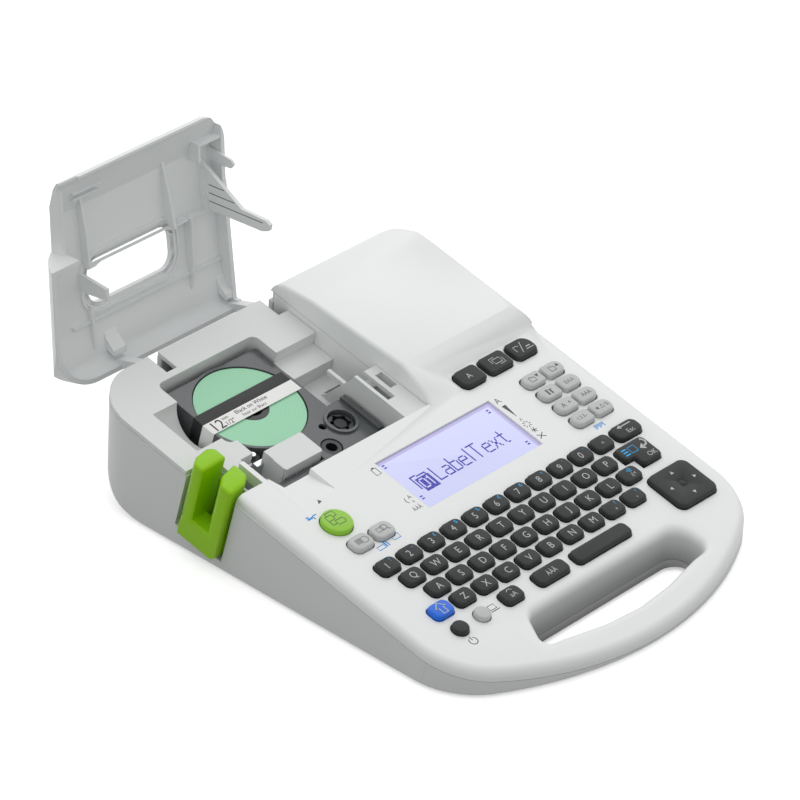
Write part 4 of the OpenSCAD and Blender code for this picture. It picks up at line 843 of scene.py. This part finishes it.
def key_legends():
    """Letters, digits and signs on the dark and blue keys."""
    for row, node in enumerate(ROW_NODES):
        row_legends(row, node)
    esc = ("b_key_esc", "ink_white", key_ink())
    lettering("legend_esc", "Esc", 2.1, (135.2, -31.9), *esc, thin=0.008)
    mark("legend_back", [line(0.5, (138.2, -28.7), (132.4, -28.7))], *esc)
    spot("legend_back_tip", [(130.6, -28.7), (132.6, -29.7), (132.6, -27.7)], *esc)
    ok = ("b_key_ok", "ink_white", key_ink())
    lettering("legend_ok", "OK", 2.3, (132.6, -45.4), *ok, thin=0.01)
    hook = line(0.8, (133.6, -37.6), (134.6, -38.2), (135.0, -39.6), (134.2, -40.9), (132.2, -41.2))
    mark("legend_return", [hook], *ok)
    spot("legend_return_tip", [(130.2, -41.2), (132.6, -42.9), (132.6, -39.5)], *ok)
    lines = [line(0.6, (122.0, v), (124.6, v)) for v in (-38.6, -40.0, -41.4)]
    frame_line = loop(0.3, (125.6, -38.4), (129.0, -38.4), (129.0, -41.6), (125.6, -41.6))
    mark("legend_select", [frame_line, *lines], "b_key_ok", "ink_cyan", key_ink())
    arrow = loop(0.5, (0.0, -54.9), (2.6, -57.6), (1.1, -57.6), (1.1, -60.4), (-1.1, -60.4), (-1.1, -57.6),
                 (-2.6, -57.6))
    mark("legend_shift", [arrow], "b_key_shift", "ink_white", key_ink())
    case = ("b_key_case", "ink_white", key_ink())
    lettering("legend_case", "aA", 2.2, (28.3, -68.0), *case, thin=0.01)
    mark("legend_case_arc", [line(0.3, (26.6, -66.0), (27.4, -65.2), (28.6, -65.2), (29.4, -66.0))], *case)
    accent = ("b_key_accent", "ink_white", key_ink())
    lettering("legend_accent", "ÁÄÂ", 2.2, (49.6, -67.6), *accent, thin=0.01, width=0.85)
    arrow_legends()


def arrow_legends():
    """Small triangles that point away from the middle of the four-way pad."""
    tip, back, half, scale = 1.1, -0.7, 1.0, 0.85
    for i, (du, dv, turn) in enumerate(((0, 6, 90), (0, -6, -90), (-6.6, 0, 180), (6.6, 0, 0))):
        c, s = scale * math.cos(math.radians(turn)), scale * math.sin(math.radians(turn))
        corners = [(c * x - s * y, s * x + c * y) for x, y in ((tip, 0), (back, half), (back, -half))]
        place = moved(corners, PAD_AT[0] + du, PAD_AT[1] + dv)
        spot("legend_arrow_%d" % i, place, "b_key_arrows", "ink_white", key_ink())


def round_key_icons():
    """Signs on the round green key and on the two grey ones beside it."""
    top = key_ink()
    mark("icon_print", [
        loop(0.32, (-2.2, -2.2), (1.0, -2.2), (1.0, 0.2), (-2.2, 0.2)),
        line(0.32, (-1.2, 0.2), (-1.2, 1.6), (2.8, 1.6), (2.8, -1.0), (1.0, -1.0)),
        loop(0.32, (0.0, -3.0), (3.6, -3.0), (4.2, -4.2), (3.6, -5.4), (0.0, -5.4)),
        line(0.32, (-2.2, -2.2), (-2.2, -4.4), (0.0, -4.4)),
    ], "b_key_print", "ink_grey_dark", top)
    bars = [line(0.35, (u, -14.6), (u, -17.2)) for u in (-1.6, -0.9, -0.2, 0.4)]
    tag = loop(0.3, (1.0, -17.6), (3.2, -17.6), (4.0, -16.2), (3.2, -14.8), (1.0, -14.8))
    mark("icon_copy", [tag, *bars], "b_key_copy", "ink_grey", top)
    t = np.linspace(0, 2 * np.pi, 14, endpoint=False)
    lens = np.stack([13.0 + 1.5 * np.cos(t), -15.6 + 1.2 * np.sin(t)], 1)
    mark("icon_preview", [
        loop(0.3, (9.4, -16.8), (12.4, -16.8), (12.4, -14.9), (9.4, -14.9)),
        loop(0.3, *lens),
        line(0.4, (14.0, -16.6), (15.0, -17.6)),
    ], "b_key_preview", "ink_grey", top)


def pair_key_icons():
    """Signs on the grey keys in pairs: files, layout, letter styles and symbols."""
    top = key_ink()
    file, v = ("b_keys_file", "ink_grey_dark", top), PAIR_V[0]
    folder = [(-2.0, -1.4), (0.8, -1.4), (0.8, 0.6), (-0.4, 0.6), (-0.8, 1.1), (-2.0, 1.1)]
    for i, (u, up) in enumerate(zip(PAIR_U, (-1, 1))):
        mark("icon_file_%d" % i, [loop(0.3, *moved(folder, u, v))], *file)
        tip = moved([(1.6, -0.7 * up), (3.4, -0.7 * up), (2.5, 0.9 * up)], u, v + 0.6)
        spot("icon_file_tip_%d" % i, tip[::up], *file)
    u, v = PAIR_U[0], PAIR_V[1]
    mark("icon_setup", [
        line(0.8, *moved([(-1.2, -1.6), (-1.2, 1.4)], u, v)),
        line(0.8, *moved([(0.6, -1.6), (0.6, 0.4)], u, v)),
        line(0.4, *moved([(-0.2, 1.2), (0.2, 0.5), (1.0, 0.5), (1.4, 1.2)], u, v)),
    ], "b_keys_form", "ink_grey_dark", top)
    lettering("icon_frame", "BAA", 1.9, (PAIR_U[1], v), "b_keys_form", "ink_grey", top, thin=0.01)
    style, v = ("b_keys_style", "ink_grey_dark", top), PAIR_V[2]
    lettering("icon_size", "A", 2.3, (122.9, v), *style, thin=0.01)
    lettering("icon_size_small", "A", 1.5, (126.4, v + 0.2), *style)
    lettering("icon_style", "AAA", 2.0, (135.9, v), *style, thin=0.01, width=0.9)
    symbol, v = ("b_keys_symbol", "ink_grey_dark", top), PAIR_V[3]
    lettering("icon_sequence", "1.2.3,-", 1.6, (124.4, v), *symbol)
    mark("icon_symbol_tri", [loop(0.28, *moved([(-1, -0.8), (1, -0.8), (0, 1.0)], PAIR_U[1], v))], *symbol)
    turn = np.arange(10) * math.pi / 5 + math.pi / 2
    reach = np.where(np.arange(10) % 2 == 0, 1.0, 0.42)
    star = np.stack([reach * np.cos(turn), reach * np.sin(turn)], 1)
    spot("icon_symbol_star", moved(star, 133.1, v), *symbol)
    lettering("icon_symbol_percent", "%", 1.7, (138.3, v), *symbol)


def function_key_icons():
    """Signs on the three black keys over the display."""
    ink = ("ink_white", key_ink())
    lettering("icon_fn_left", "A", 2.6, (103.6, 24.9), "b_key_fn_left", *ink, thin=0.01)
    mark("icon_fn_mid", [
        loop(0.35, (117.8, 23.6), (121.6, 23.6), (121.6, 26.0), (117.8, 26.0)),
        line(0.3, (116.8, 24.2), (116.8, 26.9), (119.6, 26.9)),
        line(0.3, (122.6, 25.4), (122.6, 22.7), (119.8, 22.7)),
    ], "b_key_fn_mid", *ink)
    mark("icon_fn_right", [
        line(0.3, (130.4, 23.6), (130.4, 26.4), (132.4, 26.4), (133.0, 25.8)),
        line(0.35, (132.6, 22.4), (135.2, 27.6)),
        line(0.35, (135.0, 23.0), (139.0, 23.0)),
        line(0.5, (135.8, 24.2), (138.0, 24.2)),
    ], "b_key_fn_right", *ink)


# ---- display


# tops of the display's film and of the painted shade band along two of its edges, and the foot of its dots
# between them
FILM_TOP, DOT_FOOT, EDGE_BAND_TOP = -0.82, -0.8, -0.79

# letters on the dot grid: width and strokes
GLYPHS = {
    "L": (6, [[(0, 11), (0, 0), (5, 0)]]),
    "a": (6, [[(1, 7), (4, 7), (5, 6), (5, 0)], [(5, 4), (1, 4), (0, 3), (0, 1), (1, 0), (4, 0), (5, 1)]]),
    "b": (6, [[(0, 11), (0, 0)], [(0, 6), (1, 7), (4, 7), (5, 6), (5, 1), (4, 0), (1, 0), (0, 1)]]),
    "e": (6, [[(0, 4), (5, 4), (5, 6), (4, 7), (1, 7), (0, 6), (0, 1), (1, 0), (5, 0)]]),
    "l": (3, [[(1, 11), (1, 0)]]),
    "T": (8, [[(0, 11), (6, 11)], [(3, 11), (3, 0)]]),
    "x": (6, [[(0, 7), (5, 0)], [(5, 7), (0, 0)]]),
    "t": (5, [[(2, 10), (2, 1), (3, 0), (4, 0)], [(0, 7), (4, 7)]]),
    "0": (5, [[(1, 0), (3, 0), (4, 1), (4, 6), (3, 7), (1, 7), (0, 6), (0, 1), (1, 0)]]),
    "1": (4, [[(1, 6), (2, 7), (2, 0)]]),
}


def dots_of(strokes):
    """Cells that strokes cross on the dot grid: a segment is stepped along its longer side and rounded."""
    cells = []
    for line in strokes:
        p = np.asarray(line, float)
        for a, b in zip(p[:-1], p[1:]):
            n = int(max(abs(b - a))) + 1
            cells.append(np.rint(a + (b - a) * np.linspace(0, 1, n)[:, None]))
    return np.unique(np.concatenate(cells), axis=0)


def dot_mesh(cells, origin):
    """One small square plate per lit dot."""
    pitch, fill, thick = sizes().dot_pitch, 0.9, 0.03
    c = np.asarray(origin) + np.asarray(cells) * pitch
    q = np.array([(-1, -1), (1, -1), (1, 1), (-1, 1)]) * pitch * fill / 2
    flat = c[:, None] + q[None]
    low = np.concatenate([flat, np.full(flat.shape[:2] + (1,), DOT_FOOT)], -1)
    v = np.concatenate([low, low + (0, 0, thick)], 1)
    f = np.array([(3, 2, 1, 0), (4, 5, 6, 7), (0, 1, 5, 4), (1, 2, 6, 5), (2, 3, 7, 6), (3, 0, 4, 7)])
    faces = (np.arange(len(c))[:, None, None] * 8 + f[None]).reshape(-1, 4)
    return on_deck(v).reshape(-1, 3), faces.tolist()


def build_display():
    """Film, a darker band along two sides that stands for the recess wall and paints the bezel's shade, and
    the lit dots: a page sign and a word.
    """
    sheet = prism(box_corners(69.45, -2.5, 63.6, 28.5), 0.3, -3.6, FILM_TOP, 0.05)
    film = new_object("display_film", *sheet, "case", "lcd", "lcd")
    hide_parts("display_lens", "display_panel")
    # painted shade: darker lavender strips along the film's top and right edges stand for the recess wall
    # and the bezel's shadow
    bands = [prism(box_corners(*box), 0.05, -0.9, EDGE_BAND_TOP, 0.01)
             for box in ((69.45, 11.0, 63.6, 1.5), (100.45, -3.2, 1.6, 26.9))]
    new_object("display_gasket", *gather(bands), "case", "lcd_edge", "lcd")
    pen, parts = 0, []
    for ch in "LabelText":
        wide, strokes = GLYPHS[ch]
        parts.append(dot_mesh(dots_of(strokes) + (pen, 0), (53.6, -8.2)))
        pen += wide + 1
    # page sign: outline with a tab, and a filled square with its number left out
    page = dots_of([[(0, 2), (0, 12), (4, 12), (5, 11), (11, 11), (11, 9)]])
    box = np.stack(np.meshgrid(np.arange(2, 13), np.arange(-1, 10)), -1).reshape(-1, 2)
    out = np.concatenate([dots_of(GLYPHS["0"][1]) + (3, 1), dots_of(GLYPHS["1"][1]) + (8, 1)])
    keep = ~(box[:, None] == out[None]).all(-1).any(1)
    parts.append(dot_mesh(np.concatenate([page, box[keep]]), (43.6, -8.8)))
    for at in ((39.6, 8.2), (39.8, -11.6), (97.2, 7.4), (97.2, -13.4)):
        parts.append(dot_mesh([(0, 0), (1, 0), (0, 2), (1, 2)], at))
    new_object("display_dots", *gather(parts), "case", "display_dot_indigo", "lcd", smooth=0)


# ---- prints on the deck


def spokes(u, v, inner, outer, count, spread):
    """Thin strokes about a place, spread over an angle, each from one distance to another."""
    t = np.arange(count) * spread / count
    return [line(0.3, (u + inner * c, v + inner * s), (u + outer * c, v + outer * s))
            for c, s in zip(np.cos(t), np.sin(t))]


def display_prints():
    """Signs at both sides of the display."""
    grey = ("case", "ink_grey_dark")
    lettering("print_size_a", "A", 2.9, (104.2, 9.8), *grey, thin=0.01)
    spot("print_wedge", [(103.3, 6.6), (105.3, 6.6), (104.3, -0.8)], *grey)
    lettering("print_size_b", "A", 1.4, (104.3, -2.6), *grey)
    mark("print_sun", spokes(104.4, -5.8, 1.0, 1.9, 8, 2 * math.pi), *grey)
    mark("print_star", spokes(104.4, -9.6, -1.4, 1.4, 3, math.pi), *grey)
    cross = [line(0.35, (102.9, a), (106.0, b)) for a, b in ((-12.2, -14.6), (-14.6, -12.2))]
    mark("print_cut", cross, *grey)
    cell = loop(0.3, (33.4, 10.0), (33.4, 6.6), (35.8, 6.6), (35.8, 10.0))
    mark("print_battery", [cell, line(0.5, (34.0, 10.4), (35.2, 10.4))], *grey)
    lettering("print_caps", "A", 1.9, (35.2, -8.4), *grey)
    lettering("print_small", "a", 1.6, (34.9, -11.0), *grey)
    mark("print_caps_arc", [line(0.3, (32.9, -8.0), (32.3, -9.4), (32.9, -10.8))], *grey)
    lettering("print_accents", "ÁÄÂ", 1.9, (33.6, -14.0), *grey, width=0.85)


def key_side_prints():
    """Blue and grey signs beside the keys."""
    blue, grey = ("case", "ink_blue"), ("case", "ink_grey_dark")
    mark("print_feed", [
        line(0.9, (-6.6, 4.2), (-4.0, 4.2)),
        line(0.5, (-3.6, 3.0), (-3.6, 4.8), (-1.6, 4.8)),
        line(0.6, (-6.6, 5.2), (-5.4, 5.2)),
    ], *blue)
    mark("print_setup", [
        loop(0.35, (4.6, -22.6), (8.0, -22.6), (8.0, -20.8), (4.6, -20.8)),
        line(0.7, (8.8, -22.6), (8.8, -19.6)),
        line(0.5, (10.0, -22.6), (10.0, -19.6)),
    ], *blue)
    page = loop(0.35, (13.4, -21.6), (17.0, -21.6), (17.0, -19.4), (15.2, -18.6), (13.4, -19.4))
    mark("print_view", [page], *blue)
    bars = [(126.0 + i * 0.75, -23.6 + (i % 3) * 0.5) for i in range(7)]
    mark("print_barcode", [line(0.42, (u, -21.2), (u, v)) for u, v in bars], *blue)
    screen = loop(0.3, (16.4, -68.2), (19.6, -68.2), (19.6, -66.0), (16.4, -66.0))
    mark("print_laptop", [screen, line(0.35, (16.0, -69.0), (20.4, -69.0))], *grey)
    t = np.linspace(math.radians(125), math.radians(415), 20)
    open_ring = np.stack([-0.7 + 1.7 * np.cos(t), -75.2 + 1.7 * np.sin(t)], 1)
    mark("print_power", [line(0.35, *open_ring), line(0.35, (-0.7, -74.9), (-0.7, -72.9))], *grey)
    spot("print_tick", [(3.2, 8.0), (5.4, 8.6), (4.4, 10.0)], *grey)


# ---- tape bay, cover and cutter


def dress_all(**finishes):
    """Finishes of CAD nodes that keep their shape: each finish with its nodes."""
    for mat, nodes in finishes.items():
        for node in nodes.split():
            dress(node, mat)


def build_roll():
    """Wound tape: a ring whose top is faintly ribbed, height = top + 0.02 cos 9 r."""
    bore, outside, foot = 7.5, 22.0, -24.0
    r = np.linspace(outside, bore, 30)
    top = np.stack([r, ROLL_TOP + 0.02 * np.cos(9 * r)], 1)
    profile = [(bore, foot), (outside, foot), *top, (bore, foot)]
    ob = new_object("wound_tape", *lathe(ROLL_AT, profile, 128), "roll", "mint", "mint_tape")
    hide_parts("tape_roll")


def build_label():
    """Label of the cassette: a white strip and a black band on its top, folded down its round side.
    The fold follows the side, u = axis - sqrt(r^2 - (v - axis)^2), and stays left of u = 8."""
    left, right, foot, r = 7.6, 55.2, -11.5, 23.6
    strips = (("white", 65.1, 71.0, -11.3, "paper"), ("band", 71.0, 76.3, -11.29, "ink_black"))
    for part, v1, v2, top, mat in strips:
        flat = prism([(left, v1), (right, v1), (right, v2), (left, v2)], 0.1, foot, top, 0.02)
        new_object("label_" + part, *flat, "case", mat, "label")
    for part, v1, v2, top, mat in strips:
        v = np.linspace(v1, v2, 14)
        side = np.minimum(8.0, ROLL_AT[0] - np.sqrt(r**2 - (v - ROLL_AT[1]) ** 2))
        outline = np.concatenate([np.stack([side - 0.25, v], 1), np.stack([side - 0.02, v], 1)[::-1]])
        fold = new_object("label_fold_" + part, *plate(outline, -21.5, -11.3), "case", mat, "label")
        if part == "white":
            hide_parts("cassette_label")
    print_at = -11.27
    black = ("case", "ink_black", print_at)
    lettering("label_size", "12", 4.9, (12.8, 68.0), *black)
    lettering("label_mm", "mm", 1.5, (17.6, 69.4), *black)
    lettering("label_inch", '1/2"', 2.2, (18.4, 66.8), *black, thin=0.01)
    lettering("label_colours", "Black on White", 1.9, (31.6, 69.4), *black)
    lettering("label_colours_b", "Noir sur Blanc", 1.5, (31.2, 66.8), "case", "ink_grey", print_at)


def build_bay():
    """Cassette, its label and the wound tape, and the print head and rollers beside it."""
    build_roll()
    build_label()
    dress_all(cassette="cassette_shell", core="roll_core supply_core take_up_core",
              steel="print_head platen_shaft", rubber_black="platen_roller", socket="take_up_spindle")


def build_cover():
    """Open cover and its clear pane, with dark lines down the side of its long finger: painted shade of its
    grooves.
    """
    dress_all(cover="cover", clear="cover_window", steel="hinge_pin")
    # painted shade: grey strips stand for the shade in the grooves of the finger
    lines = [ribbon([(v, 0.2), (v, low)], 0.4, -0.02, 0.03, place=on_finger)
             for v, low in ((60.4, -28.5), (56.9, -13.6), (53.4, -8.2))]
    new_object("finger_grooves", *gather(lines), "tape_cover", "ink_grey", "cover_grey", smooth=0)


def lever_edge(u, v, h, ang):
    """Any sharp edge of the lever above its foot."""
    return ang > 40 and h > -28


def build_cutter():
    """Lever with two prongs and its blade."""
    rounded_copy("cutter_lever", [(1.2, 4, lever_edge)], "lever_body", "lever", "lime", 40)
    dress_all(steel="cutter_blade lever_pin")


def dress_rest():
    """Finishes of the parts inside, behind and below."""
    dress_all(steel="motor battery_contacts usb_socket screws", brass="motor_pinion",
              acetal="idler_gear wide_gear", board="main_board key_board", rubber="key_sheet feet",
              battery="batteries", shell_grey="battery_cover", socket="dc_socket")


# ---- stage


# the camera: its place in metres, azimuth, elevation and roll of its sight in degrees, and its lens in mm
CAMERA_AT = (-1.1867, -0.9969, 1.0308)
CAMERA_ANGLES = (49.27, 32.24, 3.35)
CAMERA_LENS = 221.2

# lamps: name, place in metres, width in metres and the setting that holds its power
LAMPS = (
    ("lamp_top", (0.3, 0.6, 1.15), 1.1, "key_power"),
    ("lamp_right", (1.1, 0.35, 0.8), 0.9, "fill_power"),
)


def place_camera():
    """Camera that looks along (sin az cos el, cos az cos el, -sin el), rolled about that line."""
    az, el, roll = np.radians(CAMERA_ANGLES)
    d = Vector((math.sin(az) * math.cos(el), math.cos(az) * math.cos(el), -math.sin(el)))
    level = Vector((math.cos(az), -math.sin(az), 0))
    upright = level.cross(d)
    right = level * math.cos(roll) + upright * math.sin(roll)
    up = upright * math.cos(roll) - level * math.sin(roll)
    cam = bpy.data.cameras.new("camera")
    cam.lens, cam.sensor_width = CAMERA_LENS, 36.0
    cam.clip_start, cam.clip_end = 0.1, 20.0
    ob = object_of("camera", cam)
    ob.matrix_world = Matrix([(right[i], up[i], -d[i], CAMERA_AT[i]) for i in range(3)] + [(0, 0, 0, 1)])
    bpy.context.scene.camera = ob


def seen_ray(t):
    """One where the camera looks straight, in a reflection or through glass, else zero."""
    path = add(t, "ShaderNodeLightPath")
    seen = [(0, path, "Is Camera Ray"), (1, path, "Is Glossy Ray")]
    see = add(t, "ShaderNodeMath", seen, operation="MAXIMUM")
    return add(t, "ShaderNodeMath", [(0, see, 0), (1, path, "Is Transmission Ray")], operation="MAXIMUM")


def build_floor(lt):
    """Floor that is white to the eye and in reflections, but gives the walls only a little light back."""
    me = bpy.data.meshes.new("floor")
    me.from_pydata([(-4, -4, 0), (4, -4, 0), (4, 4, 0), (-4, 4, 0)], [], [(0, 1, 2, 3)])
    mat = bpy.data.materials.new("studio_floor")
    t = empty_tree(mat)
    pale = add(t, "ShaderNodeBsdfDiffuse", in_Color=(*lt.floor, 1.0))
    glow = add(t, "ShaderNodeEmission", in_Strength=lt.floor_glow)
    white = add(t, "ShaderNodeAddShader", [(0, pale, 0), (1, glow, 0)])
    dull = add(t, "ShaderNodeBsdfDiffuse", in_Color=(lt.bounce, lt.bounce, lt.bounce, 1.0))
    mix = add(t, "ShaderNodeMixShader", [(0, seen_ray(t), 0), (1, dull, 0), (2, white, 0)])
    add(t, "ShaderNodeOutputMaterial", [("Surface", mix, 0)])
    me.materials.append(mat)
    object_of("floor", me)


def build_lamps(lt):
    """Soft round lamps turned to the middle of the floor."""
    for name, at, width, power in LAMPS:
        lamp = bpy.data.lights.new(name, "AREA")
        lamp.shape, lamp.size, lamp.energy = "DISK", width, getattr(lt, power)
        ob = object_of(name, lamp)
        ob.location = at
        ob.rotation_euler = Vector(at).to_track_quat("Z", "Y").to_euler()


def build_sky(lt):
    """Plain sky: full white where the camera sees it, dimmer as light."""
    world = bpy.data.worlds.new("plain_sky")
    t = empty_tree(world)
    dim = add(t, "ShaderNodeBackground", in_Color=(1, 1, 1, 1), in_Strength=lt.sky)
    full = add(t, "ShaderNodeBackground", in_Color=(1, 1, 1, 1), in_Strength=1.0)
    mix = add(t, "ShaderNodeMixShader", [(0, seen_ray(t), 0), (1, dim, 0), (2, full, 0)])
    add(t, "ShaderNodeOutputWorld", [("Surface", mix, 0)])
    bpy.context.scene.world = world


def build_stage():
    """Camera, pale floor, two soft lamps and a plain sky."""
    lt = bpy.context.scene.label_maker_light
    place_camera()
    build_floor(lt)
    build_lamps(lt)
    build_sky(lt)
    bpy.context.scene.view_settings.view_transform = "Standard"


# ---- add-on


class LABELMAKER_OT_finishes(bpy.types.Operator):
    """Make every finish of the machine and dress the parts inside"""

    bl_idname = "label_maker.finishes"
    bl_label = "Finishes"

    def execute(self, context):
        make_materials()
        dress_rest()
        return {"FINISHED"}


class LABELMAKER_OT_case(bpy.types.Operator):
    """Roll the edges of the case"""

    bl_idname = "label_maker.case"
    bl_label = "Case"

    def execute(self, context):
        build_case()
        return {"FINISHED"}


class LABELMAKER_OT_keys(bpy.types.Operator):
    """Mould the keycaps"""

    bl_idname = "label_maker.keys"
    bl_label = "Keys"

    def execute(self, context):
        build_keys()
        return {"FINISHED"}


class LABELMAKER_OT_legends(bpy.types.Operator):
    """Print the letters and signs on the keys"""

    bl_idname = "label_maker.legends"
    bl_label = "Key legends"

    def execute(self, context):
        key_legends()
        round_key_icons()
        pair_key_icons()
        function_key_icons()
        return {"FINISHED"}


class LABELMAKER_OT_display(bpy.types.Operator):
    """Fit the display and light its dots"""

    bl_idname = "label_maker.display"
    bl_label = "Display"

    def execute(self, context):
        build_display()
        return {"FINISHED"}


class LABELMAKER_OT_prints(bpy.types.Operator):
    """Print the signs on the deck"""

    bl_idname = "label_maker.prints"
    bl_label = "Deck prints"

    def execute(self, context):
        display_prints()
        key_side_prints()
        return {"FINISHED"}


class LABELMAKER_OT_bay(bpy.types.Operator):
    """Fill the tape bay: cassette, label and wound tape"""

    bl_idname = "label_maker.bay"
    bl_label = "Tape bay"

    def execute(self, context):
        build_bay()
        return {"FINISHED"}


class LABELMAKER_OT_cover(bpy.types.Operator):
    """Finish the open tape cover and its pane"""

    bl_idname = "label_maker.cover"
    bl_label = "Tape cover"

    def execute(self, context):
        build_cover()
        return {"FINISHED"}


class LABELMAKER_OT_cutter(bpy.types.Operator):
    """Round the cutter lever"""

    bl_idname = "label_maker.cutter"
    bl_label = "Cutter lever"

    def execute(self, context):
        build_cutter()
        return {"FINISHED"}


class LABELMAKER_OT_stage(bpy.types.Operator):
    """Set up the floor, the lamps and the camera"""

    bl_idname = "label_maker.stage"
    bl_label = "Stage"

    def execute(self, context):
        build_stage()
        return {"FINISHED"}


OPERATORS = (LABELMAKER_OT_stage, LABELMAKER_OT_finishes, LABELMAKER_OT_case, LABELMAKER_OT_keys,
             LABELMAKER_OT_legends, LABELMAKER_OT_display, LABELMAKER_OT_prints, LABELMAKER_OT_bay,
             LABELMAKER_OT_cover, LABELMAKER_OT_cutter)


class VIEW3D_PT_label_maker(bpy.types.Panel):
    """Steps and sizes of the label maker"""

    bl_label = "Label Maker"
    bl_space_type = "VIEW_3D"
    bl_region_type = "UI"
    bl_category = "Label Maker"

    def draw(self, context):
        for op in OPERATORS:
            self.layout.operator(op.bl_idname)
        for group in (context.scene.label_maker_sizes, context.scene.label_maker_light):
            box = self.layout.box()
            for key in group.bl_rna.properties.keys():
                if key not in ("rna_type", "name"):
                    box.prop(group, key)


CLASSES = (LabelMakerSizes, LabelMakerLight) + OPERATORS + (VIEW3D_PT_label_maker,)


def register():
    for c in CLASSES:
        bpy.utils.register_class(c)
    bpy.types.Scene.label_maker_sizes = PointerProperty(type=LabelMakerSizes)
    bpy.types.Scene.label_maker_light = PointerProperty(type=LabelMakerLight)


def unregister():
    del bpy.types.Scene.label_maker_light
    del bpy.types.Scene.label_maker_sizes
    for c in reversed(CLASSES):
        bpy.utils.unregister_class(c)


def main():
    register()
    for op in OPERATORS:
        group, name = op.bl_idname.split(".")
        getattr(getattr(bpy.ops, group), name)()


if __name__ == "__main__":
    main()
